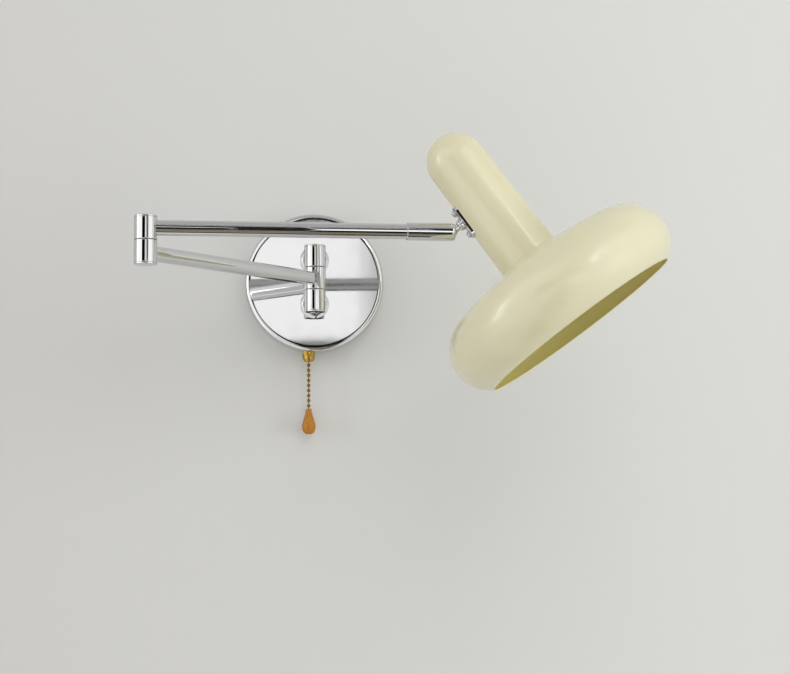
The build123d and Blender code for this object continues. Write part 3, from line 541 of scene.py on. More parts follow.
def ring_bounce_mask(mix):
    """A pattern that is 1 on the hollow side of the shade's ring, and 0 elsewhere: where warm bounce light is
    painted in.
    """
    sizes = bpy.context.scene.lamp_shade
    to_shade = shade_place(sizes).inverted()
    split = mix.tree.nodes.new("ShaderNodeSeparateXYZ")
    mix.link(mix.mapped((1, 1, 1), to_shade.to_euler(), to_shade.translation), split.inputs[0])
    square = [mix.math("MULTIPLY", axis, axis) for axis in split.outputs[:2]]
    radius = mix.math("POWER", mix.math("ADD", *square), 0.5)
    out = mix.math("SUBTRACT", radius, sizes.radius - sizes.bulge_radius)
    up = mix.math("SUBTRACT", split.outputs["Z"], sizes.bulge_height)
    away = mix.math("ADD", mix.math("MULTIPLY", out, out), mix.math("MULTIPLY", up, up))
    return mix.math("LESS_THAN", away, (sizes.bulge_radius - 0.7 * sizes.sheet) ** 2)


def mix_enamel(mix, colours):
    """Cream enamel: deep, with a satin gloss and a fine orange-peel skin. Inside the ring a warmer colour is painted
    in as bounce light.
    """
    cloud = mix.spread(mix.noise(7, 1), 0, 1)
    outside = mix.between(cloud, colours.enamel, colours.enamel_deep)
    # Painted bounce light: the hollow side of the ring gets a warmer, more yellow colour.
    mix.link(mix.between(ring_bounce_mask(mix), outside, colours.bounce_tint_inside), mix.shader.inputs["Base Color"])
    mix.gloss(0.21, 0.25, 30, 1)
    mix.relief(mix.noise(520, 2), 0.004 * MM)
    mix.even(IOR=1.5, Coat_Weight=0.3, Coat_Roughness=0.1)


def mix_wood(mix, colours):
    """Varnished wood: fine diagonal grain, small pores, a clear coat."""
    along = mix.mapped((1, 1, 0.16), (0.20, 0.34, 0))
    grain = mix.noise(900, 6, along, 1.2)
    wide = mix.noise(210, 3, along, 2.0)
    share = mix.spread(grain, 0, 1, 0.38, 0.66)
    lines = mix.between(share, colours.wood, darker(colours.wood, 0.66))
    patches = mix.spread(wide, 0, 0.62, 0.45, 0.72)
    mix.link(mix.between(patches, lines, colours.wood_grain), mix.shader.inputs["Base Color"])
    mix.gloss(0.34, 0.48, 500)
    mix.relief(grain, 0.012 * MM)
    mix.even(Coat_Weight=0.12, Coat_Roughness=0.12, Specular_IOR_Level=0.3)


def plastic(light, dark, rough, grain, coat=0.0):
    """The recipe of a moulded plastic with a fine grain."""
    def recipe(mix, colours):
        mix.tint(light, dark, 120, 3)
        mix.gloss(rough - 0.05, rough + 0.06, 300)
        mix.relief(mix.noise(1400, 2), grain * MM)
        mix.even(Coat_Weight=coat, Coat_Roughness=0.1)
    return recipe


def mix_opal(mix, colours):
    """Opal bulb: white and glossy, with the soft depth of a diffuser."""
    mix.tint((0.90, 0.89, 0.85), (0.86, 0.85, 0.80), 40, 2)
    mix.gloss(0.10, 0.16, 60)
    mix.relief(mix.noise(200, 1), 0.002 * MM)
    mix.even(IOR=1.5, Coat_Weight=0.3, Coat_Roughness=0.04)


RECIPES = {
    "chrome": mix_chrome,
    "zinc_steel": mix_zinc,
    "brass": mix_brass,
    "chain_metal": mix_chain,
    "cream_enamel": mix_enamel,
    "pendant_wood": mix_wood,
    "white_plastic": plastic((0.80, 0.80, 0.76), (0.74, 0.74, 0.70), 0.42, 0.004),
    "holder_plastic": plastic((0.72, 0.70, 0.63), (0.66, 0.64, 0.57), 0.38, 0.003),
    "washer_plastic": plastic((0.020, 0.020, 0.021), (0.032, 0.032, 0.033), 0.5, 0.005),
    "wire_plastic": plastic((0.20, 0.07, 0.025), (0.15, 0.05, 0.02), 0.4, 0.003, 0.2),
    "cable_sheath": plastic((0.74, 0.73, 0.68), (0.68, 0.67, 0.62), 0.45, 0.006),
    "bulb_plastic": plastic((0.84, 0.84, 0.82), (0.80, 0.80, 0.78), 0.25, 0.002, 0.2),
    "cap_metal": mix_zinc,
    "bulb_glass": mix_opal,
}


def finish(slot):
    """The material of a slot, mixed the first time that it is asked for."""
    found = bpy.data.materials.get("lamp_" + slot)
    if found:
        return found
    mix = Mix("lamp_" + slot)
    RECIPES[slot](mix, bpy.context.scene.lamp_colours)
    return mix.material


# ---- the wall plate ----
class LAMP_OT_wall_plate(bpy.types.Operator):
    """Makes the round wall plate with its rounded edge"""
    bl_idname = "lamp.wall_plate"
    bl_label = "Wall plate"
    bl_options = {"REGISTER", "UNDO"}

    def execute(self, context):
        s = context.scene.lamp_plate
        inner = s.radius - s.sheet
        back = s.depth - s.sheet
        line = outline(
            (s.radius, 0), (s.radius, s.depth, s.edge), (0, s.depth),
            (0, back), (inner, back, s.edge - s.sheet), (inner, 0), steps=10,
        )
        plate = turned("wall_plate_pan", line, 180)
        move_to(plate, standing((0, 0, 0), OUT_OF_WALL))
        fit(plate, "wall_plate", "chrome", "canopy")
        return {"FINISHED"}


class LAMP_OT_stems(bpy.types.Operator):
    """Makes the two stems and the round flanges that stand on the plate"""
    bl_idname = "lamp.stems"
    bl_label = "Stems and flanges"
    bl_options = {"REGISTER", "UNDO"}

    def execute(self, context):
        s = context.scene.lamp_plate
        pitch = context.scene.lamp_arms.barrel_pitch
        bore = s.stem_radius + 0.05 * MM
        top = s.depth + s.flange_height
        slant = 2.3 * MM
        line = outline(
            (bore, s.depth), (s.flange_radius, s.depth),
            (s.flange_radius, top - slant, 0.6 * MM), (s.flange_radius - slant, top, 1.2 * MM), (bore, top),
        )
        lower = move_to(turned("flange", line, 80), standing((0, 0, -pitch), OUT_OF_WALL))
        upper = again(lower, (0, 0, 2 * pitch))
        fit(joined("plate_flanges", [lower, upper]), "wall_plate", "chrome", "stem_flanges")
        wire_hole, start, end = 3.3 * MM, 12 * MM, 37.8 * MM
        tube = outline((wire_hole, start), (s.stem_radius, start), (s.stem_radius, end), (wire_hole, end))
        lower = move_to(turned("hub_stem_lower", tube, 56), standing((0, 0, -pitch), OUT_OF_WALL))
        upper = again(lower, (0, 0, 2 * pitch))
        upper.name = upper.data.name = "hub_stem_upper"
        fit(lower, "wall_plate", "chrome", "lower_stem")
        fit(upper, "wall_plate", "chrome", "upper_stem")
        return {"FINISHED"}


# ---- barrels ----
WASHER_HALF = 0.2 * MM
COUNTERBORE = 6.3 * MM
COUNTERBORE_DEPTH = 4.0 * MM


def barrel(name, sizes, low, high, open_end=None):
    """A turned barrel with a pin bore, and a counterbore where a cap closes it."""
    bore, radius, edge = sizes.pin_bore, sizes.barrel_radius, sizes.barrel_edge
    points = [(bore, low), (radius, low, edge), (radius, high, edge)]
    if open_end == "top":
        ledge = high - COUNTERBORE_DEPTH
        points += [(COUNTERBORE, high), (COUNTERBORE, ledge), (bore, ledge)]
    elif open_end == "foot":
        ledge = low + COUNTERBORE_DEPTH
        points = [(bore, ledge), (COUNTERBORE, ledge), (COUNTERBORE, low)] + points[1:] + [(bore, high)]
    else:
        points.append((bore, high))
    return turned(name, outline(*points), 96)


def barrel_cap(name, sizes, face, up):
    """The cap of a barrel: a thin disc with a rounded edge and a short spigot."""
    side = 1 if up else -1
    spigot = COUNTERBORE - 0.05 * MM
    line = outline(
        (0, face - side * 1.2 * MM), (spigot, face - side * 1.2 * MM), (spigot, face),
        (sizes.barrel_radius, face, 0.15 * MM), (sizes.barrel_radius, face + side * sizes.cap, sizes.cap_edge),
        (0, face + side * sizes.cap), closed=False,
    )
    return turned(name, line, 96)


class LAMP_OT_hub(bpy.types.Operator):
    """Makes the hub: three stacked barrels with a cap at each end"""
    bl_idname = "lamp.hub"
    bl_label = "Hub"
    bl_options = {"REGISTER", "UNDO"}

    def execute(self, context):
        s = context.scene.lamp_arms
        half, top = s.barrel_pitch / 2, 1.5 * s.barrel_pitch
        face = top - s.cap
        place = standing(HUB, UP)
        upper = barrel("hub_barrel_upper", s, half + WASHER_HALF, face, "top")
        fit(move_to(upper, place), "wall_plate", "chrome", "upper_hub_knuckle")
        lower = barrel("hub_barrel_lower", s, -face, -half - WASHER_HALF, "foot")
        fit(move_to(lower, place), "wall_plate", "chrome", "lower_hub_knuckle")
        run = half - WASHER_HALF - 0.05 * MM
        middle = barrel("hub_barrel_middle", s, -run, run)
        fit(move_to(middle, place), "arm_1", "chrome", "arm_1_hub_knuckle")
        cap = barrel_cap("hub_cap_over", s, face, True)
        fit(move_to(cap, place), "wall_plate", "chrome", "hub_cap_top")
        cap = barrel_cap("hub_cap_under", s, -face, False)
        fit(move_to(cap, place), "wall_plate", "chrome", "hub_cap_bottom")
        return {"FINISHED"}


class LAMP_OT_elbow(bpy.types.Operator):
    """Makes the elbow: one barrel on each arm, with a cap at each end"""
    bl_idname = "lamp.elbow"
    bl_label = "Elbow"
    bl_options = {"REGISTER", "UNDO"}

    def execute(self, context):
        s = context.scene.lamp_arms
        half, top = s.barrel_pitch / 2, 1.5 * s.barrel_pitch
        place = standing((ELBOW.x, ELBOW.y, HUB.z), UP)
        lower = barrel("elbow_barrel_lower", s, s.cap - half, half - WASHER_HALF, "foot")
        fit(move_to(lower, place), "arm_1", "chrome", "arm_1_elbow_knuckle")
        upper = barrel("elbow_barrel_upper", s, half + WASHER_HALF + 0.05 * MM, top - s.cap, "top")
        fit(move_to(upper, place), "arm_2", "chrome", "arm_2_knuckle")
        cap = barrel_cap("elbow_cap_over", s, top - s.cap, True)
        fit(move_to(cap, place), "arm_2", "chrome", "elbow_cap_top")
        cap = barrel_cap("elbow_cap_under", s, s.cap - half, False)
        fit(move_to(cap, place), "arm_1", "chrome", "elbow_cap_bottom")
        return {"FINISHED"}


class LAMP_OT_arms(bpy.types.Operator):
    """Makes the two arm tubes"""
    bl_idname = "lamp.arms"
    bl_label = "Arm tubes"
    bl_options = {"REGISTER", "UNDO"}

    def execute(self, context):
        s = context.scene.lamp_arms
        inner = s.tube_radius - s.tube_wall

        def tube(name, end):
            edge = 0.2 * MM
            line = outline(
                (inner, s.tube_start), (s.tube_radius, s.tube_start, edge),
                (s.tube_radius, end, edge), (inner, end), steps=3,
            )
            return turned(name, line, 96)

        first = tube("arm_1_outer_tube", ARM_1_LENGTH - s.tube_start)
        move_to(first, standing(HUB, ARM_1_DIR, UP))
        fit(first, "arm_1", "chrome", "arm_1_tube")
        second = tube("arm_2_outer_tube", ARM_2_LENGTH - 9 * MM)
        move_to(second, standing(ELBOW, ARM_2_DIR, UP))
        fit(second, "arm_2", "chrome", "arm_2_tube")
        return {"FINISHED"}


# ---- the ball joint ----
def slot_direction(angle):
    """A direction in the plane of the slot, at an angle from the arm's axis."""
    return ARM_2_DIR * math.cos(angle) + SLOT_UP * math.sin(angle)


class LAMP_OT_sleeve(bpy.types.Operator):
    """Makes the sleeve that holds the ball, with its groove and the slot for the stud"""
    bl_idname = "lamp.sleeve"
    bl_label = "Ball sleeve"
    bl_options = {"REGISTER", "UNDO"}

    def execute(self, context):
        s = context.scene.lamp_joint
        bore = context.scene.lamp_arms.tube_radius + 0.05 * MM
        seat = s.ball_radius + 0.05 * MM
        step = -8.6 * MM
        mouth = math.degrees(math.asin(s.sleeve_nose / seat))
        line = outline(
            (bore, -s.sleeve_length), (s.sleeve_radius, -s.sleeve_length, 0.45 * MM),
            (s.sleeve_radius, -s.groove_at - 0.22 * MM),
            (s.sleeve_radius - 0.22 * MM, -s.groove_at - 0.1 * MM),
            (s.sleeve_radius - 0.22 * MM, -s.groove_at + 0.1 * MM),
            (s.sleeve_radius, -s.groove_at + 0.22 * MM),
            (s.sleeve_radius, s.sleeve_nose, s.nose_edge), *arc(0, 0, seat, mouth, 0, 8),
            (seat, step), (bore, step), steps=8,
        )
        sleeve = move_to(turned("ball_sleeve", line, 96), standing(BALL, ARM_2_DIR, SLOT_UP))
        reach = 14 * MM
        half = s.slot_half
        across = ARM_2_DIR.cross(SLOT_UP)
        for angle in (s.slot_low, s.slot_high):
            cutter = turned("slot_end", [(0, 0), (half, 0), (half, reach), (0, reach)], 40)
            carve(sleeve, move_to(cutter, standing(BALL, slot_direction(angle), across)))
        fan = turned(
            "slot_fan", [(0, -half), (reach, -half), (reach, half), (0, half), (0, -half)], 24,
            math.degrees(s.slot_high - s.slot_low),
        )
        carve(sleeve, move_to(fan, standing(BALL, across, slot_direction(s.slot_low))))
        fit(sleeve, "head_socket", "chrome", "socket_sleeve")
        return {"FINISHED"}


class LAMP_OT_stud(bpy.types.Operator):
    """Makes the ball with its stud, flare and collar"""
    bl_idname = "lamp.stud"
    bl_label = "Ball stud"
    bl_options = {"REGISTER", "UNDO"}

    def execute(self, context):
        s = context.scene.lamp_joint
        bore, neck, ball = s.stud_bore, s.stud_radius, s.ball_radius
        low = -math.degrees(math.acos(bore / ball))
        high = math.degrees(math.acos(neck / ball))
        collar = s.strap_face + 0.3 * MM
        line = outline(
            *arc(0, 0, ball, low, high, 28), (neck, 7.0 * MM), (3.25 * MM, 7.2 * MM), (3.7 * MM, 7.35 * MM),
            (4.1 * MM, 7.7 * MM), (4.3 * MM, 8.2 * MM), (4.3 * MM, 8.6 * MM), (4.0 * MM, 9.1 * MM),
            (4.8 * MM, 9.3 * MM, 0.3 * MM), (4.8 * MM, collar, 0.3 * MM), (neck, collar),
            (neck, s.stud_end), (bore, s.stud_end),
        )
        stud = move_to(turned("ball_and_stud", line, 64), standing(BALL, STUD_DIR, SLOT_UP))
        fit(stud, "head_ball", "chrome", "ball_stud")
        return {"FINISHED"}


# ---- the shade ----
def shade_place(sizes):
    """The shade's place: its origin is the middle of the opening, its Z the shade's own axis."""
    side = Vector((-STUD_DIR.z, 0, STUD_DIR.x))
    up = side * math.cos(sizes.turned) - OUT_OF_WALL * math.sin(sizes.turned)
    origin = BALL + STUD_DIR * sizes.axis_off - up * sizes.strap_height
    return standing(origin, up, STUD_DIR)


def slope_height(sizes, bulge_radius, radius):
    """The height of the ring's sloping top at a radius."""
    touch = sizes.radius - sizes.bulge_radius + bulge_radius * math.sin(sizes.slope)
    top = sizes.bulge_height + bulge_radius * math.cos(sizes.slope)
    return top + (touch - radius) * math.tan(sizes.slope)


def neck_radius(sizes, height):
    """The neck's outer radius at a height. It tapers a little."""
    foot = slope_height(sizes, sizes.bulge_radius, sizes.neck_foot)
    share = (height - foot) / (sizes.height - sizes.neck_top - foot)
    return sizes.neck_foot + (sizes.neck_top - sizes.neck_foot) * share


class LAMP_OT_shade_ring(bpy.types.Operator):
    """Makes the ring-shaped shade, open below, with a rounded rim"""
    bl_idname = "lamp.shade_ring"
    bl_label = "Shade ring"
    bl_options = {"REGISTER", "UNDO"}

    def execute(self, context):
        s = context.scene.lamp_shade
        outer, inner = s.bulge_radius, s.bulge_radius - s.sheet
        centre = s.radius - outer
        start = s.neck_foot + 0.06 * MM
        top = 90 - math.degrees(s.slope)
        rim = -math.degrees(math.asin(s.bulge_height / outer))
        lip = s.sheet / 2
        lip_radius = centre + (outer - lip) * math.cos(math.radians(rim))
        lip_height = s.bulge_height + (outer - lip) * math.sin(math.radians(rim))
        line = outline(
            (start, slope_height(s, outer, start)), (start + 0.3 * MM, slope_height(s, outer, start + 0.3 * MM)),
            (0.5 * (start + centre), slope_height(s, outer, 0.5 * (start + centre))),
            *arc(centre, s.bulge_height, outer, top, rim, 44),
            *arc(lip_radius, lip_height, lip, rim, rim - 180, 8)[1:-1],
            *arc(centre, s.bulge_height, inner, rim, top, 40),
            (start, slope_height(s, inner, start)),
        )
        ring = move_to(turned("shade_ring", line, 192), shade_place(s))
        fit(ring, "shade", "cream_enamel", "shade_shell")
        return {"FINISHED"}


class LAMP_OT_shade_neck(bpy.types.Operator):
    """Makes the neck: a tapered tube with a round top and an inner flange"""
    bl_idname = "lamp.shade_neck"
    bl_label = "Shade neck"
    bl_options = {"REGISTER", "UNDO"}

    def execute(self, context):
        s = context.scene.lamp_shade
        foot = slope_height(s, s.bulge_radius, s.neck_foot)
        dome = s.height - s.neck_top
        inner_foot, inner_top = s.neck_foot - s.sheet, s.neck_top - s.sheet
        under = slope_height(s, s.bulge_radius - s.sheet, s.neck_foot) - 0.03 * MM
        drop = (s.flange - s.neck_foot) * math.tan(s.slope)
        middle = 0.5 * (foot + dome)
        line = outline(
            (s.neck_foot, foot), (0.5 * (s.neck_foot + s.neck_top), middle),
            *arc(0, dome, s.neck_top, 0, 90, 26),
            *arc(0, dome, inner_top, 90, 0, 20),
            (inner_foot, foot), (inner_foot, under - 1 * MM),
            (s.flange, under - 1 * MM - drop), (s.flange, under - drop), (s.neck_foot, under),
        )
        neck = move_to(turned("shade_neck", line, 128), shade_place(s))
        fit(neck, "shade", "cream_enamel", "neck_shell")
        return {"FINISHED"}


class LAMP_OT_strap(bpy.types.Operator):
    """Makes the curved strap on the neck and its two cross-headed screws"""
    bl_idname = "lamp.strap"
    bl_label = "Strap and screws"
    bl_options = {"REGISTER", "UNDO"}

    def execute(self, context):
        s = context.scene.lamp_shade
        place = shade_place(s)
        low, high = s.strap_height - 0.6 * s.strap_length, s.strap_height + 0.6 * s.strap_length
        gap = 0.02 * MM
        foot, top = neck_radius(s, low), neck_radius(s, high)
        shell = [
            (foot + gap, low), (foot + s.strap_sheet, low), (top + s.strap_sheet, high), (top + gap, high),
            (foot + gap, low),
        ]
        strap = turned("neck_strap", shell, 28, 50)
        move_to(strap, Matrix.Rotation(math.radians(180 - 25), 4, "Z"))
        shape = block((-s.neck_foot, 0, s.strap_height), (14 * MM, s.strap_width, s.strap_length))
        for edge in shape.data.edges:
            ends = [shape.data.vertices[v].co for v in edge.vertices]
            edge.select = abs(ends[0].x - ends[1].x) > 5 * MM
        select_edges(shape)
        bpy.ops.mesh.bevel(offset=3.5 * MM, segments=8, affect="EDGES")
        carve(strap, shape, "INTERSECT")
        soften(strap, 0.25 * MM)
        move_to(strap, place)
        fit(strap, "shade", "chrome", "shade_strap")

        head = outline(
            (0, -6.2 * MM), (1.9 * MM, -6.2 * MM), (1.9 * MM, 0), (2.6 * MM, 0),
            (2.6 * MM, 0.8 * MM), (2.45 * MM, 1.25 * MM), (2.05 * MM, 1.65 * MM), (1.4 * MM, 1.9 * MM),
            (0.7 * MM, 2.0 * MM), (0, 2.0 * MM), closed=False,
        )
        first = turned("strap_screw_lower", head, 40)
        for turned_by in (0, 90):
            carve(first, block((0, 0, 1.9 * MM), (3.0 * MM, 0.7 * MM, 1.5 * MM), turned_by))
        second = again(first, (0, 0, 0))
        second.name = second.data.name = "strap_screw_upper"
        outward, along = place.to_3x3() @ -RIGHT, place.to_3x3() @ UP
        for screw, side in ((first, -1), (second, 1)):
            height = s.strap_height + side * s.screw_pitch / 2
            face = neck_radius(s, height) + s.strap_sheet + 0.06 * MM
            move_to(screw, standing(place @ Vector((-face, 0, height)), outward, along))
            fit(screw, "shade", "zinc_steel", "strap_screws")
        return {"FINISHED"}


class LAMP_OT_bulb(bpy.types.Operator):
    """Makes the lamp holder and the round bulb in it"""
    bl_idname = "lamp.bulb"
    bl_label = "Holder and bulb"
    bl_options = {"REGISTER", "UNDO"}

    def execute(self, context):
        s = context.scene.lamp_shade
        place = shade_place(s)
        foot, top = s.holder_foot, s.holder_top
        ceiling = foot + 34 * MM
        well, out, nipple = 14 * MM, 17.2 * MM, 5 * MM
        ridges = []
        for ridge in range(5):
            height = foot + (6 + 3 * ridge) * MM
            ridges += [(out, height), (out - 0.35 * MM, height + 0.4 * MM), (out, height + 0.8 * MM)]
        line = outline(
            (well, foot), (out, foot, 0.8 * MM), *ridges, (out, top - 8 * MM, 1.5 * MM), (12 * MM, top, 1.5 * MM),
            (nipple, top), (nipple, top + 6 * MM), (3 * MM, top + 6 * MM), (3 * MM, ceiling), (well, ceiling),
        )
        holder = move_to(turned("lamp_socket", line, 72), place)
        fit(holder, "shade", "holder_plastic", "lamp_holder")

        cap_low, pitch, turns = foot + 6 * MM, 3.6 * MM, 6
        thread = [(0, cap_low)]
        for step in range(turns * 8 + 1):
            wave = 0.5 - 0.5 * math.cos(2 * math.pi * step / 8)
            thread.append((12.2 * MM + 1.0 * MM * wave, cap_low + pitch * step / 8))
        end = cap_low + pitch * turns
        thread += [
            (11.5 * MM, end + 1.5 * MM), (5 * MM, end + 3.6 * MM), (4.5 * MM, end + 4.6 * MM), (0, end + 4.6 * MM),
        ]
        cap = move_to(turned("bulb_screw_cap", thread, 64), place)
        fit(cap, "shade", "cap_metal", "bulb_cap")

        meet = s.collar_height
        rim = math.sqrt(s.globe_radius ** 2 - (meet - s.globe_height) ** 2)
        collar_top = foot + 5.95 * MM
        line = outline(
            (0, meet + 1.7 * MM), (rim - 1.4 * MM, meet + 1.7 * MM), (rim - 1.4 * MM, meet), (rim, meet),
            (rim + 0.8 * MM, meet + 2 * MM, 0.8 * MM), (14.6 * MM, collar_top - 8 * MM, 4 * MM),
            (13 * MM, collar_top - 4 * MM, 2 * MM), (13 * MM, collar_top), (0, collar_top), closed=False,
        )
        collar = move_to(turned("bulb_base", line, 80), place)
        fit(collar, "shade", "bulb_plastic", "bulb_collar")

        wall = 1.2 * MM
        edge = math.degrees(math.asin((meet - s.globe_height) / s.globe_radius))
        inner_edge = math.degrees(math.asin((meet - s.globe_height) / (s.globe_radius - wall)))
        line = (
            arc(0, s.globe_height, s.globe_radius, -90, edge, 30)
            + arc(0, s.globe_height, s.globe_radius - wall, inner_edge, -90, 24)
        )
        globe = move_to(turned("bulb_diffuser", line, 80), place)
        fit(globe, "shade", "bulb_glass", "bulb_globe")
        return {"FINISHED"}


# ---- the pull switch ----
CORD_LINE = standing((CHAIN_TOP.x, CHAIN_TOP.y, 0), UP)


class LAMP_OT_bell(bpy.types.Operator):
    """Makes the brass bell nut with its twelve flutes"""
    bl_idname = "lamp.bell"
    bl_label = "Bell nut"
    bl_options = {"REGISTER", "UNDO"}

    def execute(self, context):
        s = context.scene.lamp_switch
        top, foot, out = -s.bell_top, -s.bell_foot, s.bell_radius
        thread = 4.05 * MM
        line = outline(
            (thread, top), (out, top), (out, foot + 5.6 * MM, 0.3 * MM), (out - 0.5 * MM, foot + 5.2 * MM, 0.2 * MM),
            (out - 0.25 * MM, foot + 3.9 * MM, 0.5 * MM), (out - 0.55 * MM, foot + 2.0 * MM, 1.2 * MM),
            (out - 1.4 * MM, foot + 0.6 * MM, 0.5 * MM), (3.6 * MM, foot, 0.2 * MM), (2.9 * MM, foot),
            (2.9 * MM, foot + 3.2 * MM), (thread, foot + 3.8 * MM),
        )
        bell = turned("switch_bell_nut", line, 72)
        flutes = []
        for step in range(12):
            only()
            angle = math.radians(30 * step)
            reach = out + 0.45 * MM
            bpy.ops.mesh.primitive_cylinder_add(
                vertices=20, radius=0.8 * MM, depth=4.2 * MM,
                location=(reach * math.cos(angle), reach * math.sin(angle), foot + 8.2 * MM),
            )
            bpy.ops.object.transform_apply(location=True, rotation=True, scale=True)
            flutes.append(bpy.context.object)
        carve(bell, joined("flutes", flutes))
        soften(bell, 0.08 * MM, 2, 50)
        move_to(bell, CORD_LINE)
        fit(bell, "wall_plate", "brass", "switch_bell")
        return {"FINISHED"}


class LAMP_OT_chain(bpy.types.Operator):
    """Makes the ball chain and the small cup at its end"""
    bl_idname = "lamp.chain"
    bl_label = "Ball chain"
    bl_options = {"REGISTER", "UNDO"}

    def execute(self, context):
        s = context.scene.lamp_switch
        tilt = math.degrees(math.acos(s.wire_radius / s.bead_radius))
        shoulder = s.bead_radius * math.sin(math.radians(tilt))
        link_foot = -s.bead_pitch + shoulder
        line = [(0, shoulder)] + arc(0, 0, s.bead_radius, tilt, -tilt, 14)
        line += [(s.wire_radius, link_foot), (0, link_foot)]
        first = move_to(turned("bead", line, 22), Matrix.Translation(CHAIN_TOP))
        beads = [first]
        for step in range(1, 10):
            beads.append(again(first, (0, 0, -s.bead_pitch * step)))
        chain = joined("bead_chain", beads)
        smooth(chain)
        fit(chain, "pull_chain", "chain_metal", "pull_chain")

        top = -s.drop_top + 0.2 * MM
        cup_line = outline(
            (0, top - 2.6 * MM), (1.6 * MM, top - 2.6 * MM), (1.6 * MM, top - 0.2 * MM), (1.9 * MM, top - 0.2 * MM),
            (1.9 * MM, top, 0.08 * MM), (0, top), closed=False,
        )
        cup = move_to(turned("chain_end_cup", cup_line, 32), CORD_LINE)
        fit(cup, "pull_chain", "brass", "chain_cup")
        return {"FINISHED"}


class LAMP_OT_drop(bpy.types.Operator):
    """Makes the turned wooden drop on the chain"""
    bl_idname = "lamp.drop"
    bl_label = "Wooden drop"
    bl_options = {"REGISTER", "UNDO"}

    def execute(self, context):
        s = context.scene.lamp_switch
        top, foot = -s.drop_top, -s.drop_foot
        side = flowing([
            (2.6 * MM, top - 0.4 * MM), (3.3 * MM, top - 5 * MM), (5.1 * MM, top - 11 * MM),
            (s.drop_radius, top - 15.4 * MM), (5.0 * MM, top - 19.6 * MM), (3.0 * MM, foot + 0.5 * MM),
        ])
        line = [
            (0, top - 2.45 * MM), (1.62 * MM, top - 2.45 * MM), (1.62 * MM, top), (2.2 * MM, top),
            (2.45 * MM, top - 0.12 * MM), *side, (2.4 * MM, foot + 0.15 * MM), (1.6 * MM, foot), (0, foot),
        ]
        drop = move_to(turned("wooden_drop", line, 56), CORD_LINE)
        fit(drop, "pull_chain", "pendant_wood", "pull_pendant")
        return {"FINISHED"}


class LAMP_OT_spring(bpy.types.Operator):
    """Makes the switch's spring from the frame's own coil"""
    bl_idname = "lamp.spring"
    bl_label = "Switch spring"
    bl_options = {"REGISTER", "UNDO"}

    def execute(self, context):
        coil = again(frame["nodes"]["switch_spring"], (0, 0, 0))
        coil.name = coil.data.name = "switch_return_spring"
        bpy.ops.object.mode_set(mode="EDIT")
        bpy.ops.mesh.select_all(action="SELECT")
        bpy.ops.mesh.remove_doubles(threshold=MERGE)
        smooth(coil)
        fit(coil, "wall_plate", "zinc_steel", "switch_spring")
        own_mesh(coil)
        return {"FINISHED"}


# ---- what stays as the frame has it ----
class LAMP_OT_hardware(bpy.types.Operator):
    """Gives the screws, nuts, pins, wires and other inner parts their finishes"""
    bl_idname = "lamp.hardware"
    bl_label = "Inner hardware"
    bl_options = {"REGISTER", "UNDO"}

    def execute(self, context):
        slots = {part["node"]: part["material_slot"] for part in frame["record"]["subparts"]}
        for name, node in frame["nodes"].items():
            node.data.materials.clear()
            node.data.materials.append(finish(slots[name]))
        return {"FINISHED"}


# ---- the studio ----
CAMERA_AT = (-29.157 * MM, -1660.056 * MM, -205.637 * MM)
CAMERA_YAW, CAMERA_PITCH, CAMERA_ROLL = math.radians(3.45), math.radians(5.493), math.radians(-0.304)
CAMERA_LENS, CAMERA_SENSOR = 86.73, 36
WALL_GAP = 0.3 * MM
WALL_SIZE, FLOOR_SIZE = (3.4, 3.4), (3.8, 3.8)
FLOOR_AT = (0, -1.9, -0.85)
OPEN_BEHIND_PLATE = 56 * MM
DOME_RADIUS = 2.4
CARD_STEP = 4


def stage_sheet(name, size, place, painted_light_left, painted_light_right, hole=0.0):
    """A pale sheet for the wall or the floor, seen from its front only. Its colour runs from the left colour to the
    right one, which on the wall is painted light, brighter at the right. A hole lets light in behind the plate.
    """
    only()
    bpy.ops.mesh.primitive_plane_add(size=1)
    sheet = bpy.context.object
    sheet.name = sheet.data.name = name
    sheet.scale = (size[0], size[1], 1)
    bpy.ops.object.transform_apply(location=True, rotation=True, scale=True)
    move_to(sheet, place)
    mix = Mix("studio_" + name)
    tree = mix.tree
    split = tree.nodes.new("ShaderNodeSeparateXYZ")
    mix.link(mix.coords, split.inputs[0])
    # Painted light: on the wall the colour brightens from left to right; the floor gets one colour at both ends.
    across = mix.spread(split.outputs["X"], 0, 1, -0.3, 0.35)
    mix.link(mix.between(across, painted_light_left, painted_light_right), mix.shader.inputs["Base Color"])
    mix.even(Roughness=0.9, Specular_IOR_Level=0.1)
    clear = tree.nodes.new("ShaderNodeBsdfTransparent")
    facing = tree.nodes.new("ShaderNodeNewGeometry")
    ray = tree.nodes.new("ShaderNodeLightPath")
    behind = mix.math("MULTIPLY", facing.outputs["Backfacing"], ray.outputs["Is Camera Ray"])
    square = [mix.math("MULTIPLY", axis, axis) for axis in (split.outputs["X"], split.outputs["Z"])]
    gone = mix.math("LESS_THAN", mix.math("ADD", *square), hole ** 2)
    blend = tree.nodes.new("ShaderNodeMixShader")
    mix.link(mix.math("MAXIMUM", behind, gone), blend.inputs[0])
    mix.link(mix.shader.outputs[0], blend.inputs[1])
    mix.link(clear.outputs[0], blend.inputs[2])
    mix.link(blend.outputs[0], tree.nodes["Material Output"].inputs["Surface"])
    sheet.data.materials.append(mix.material)
    sheet.visible_shadow = False
    return sheet


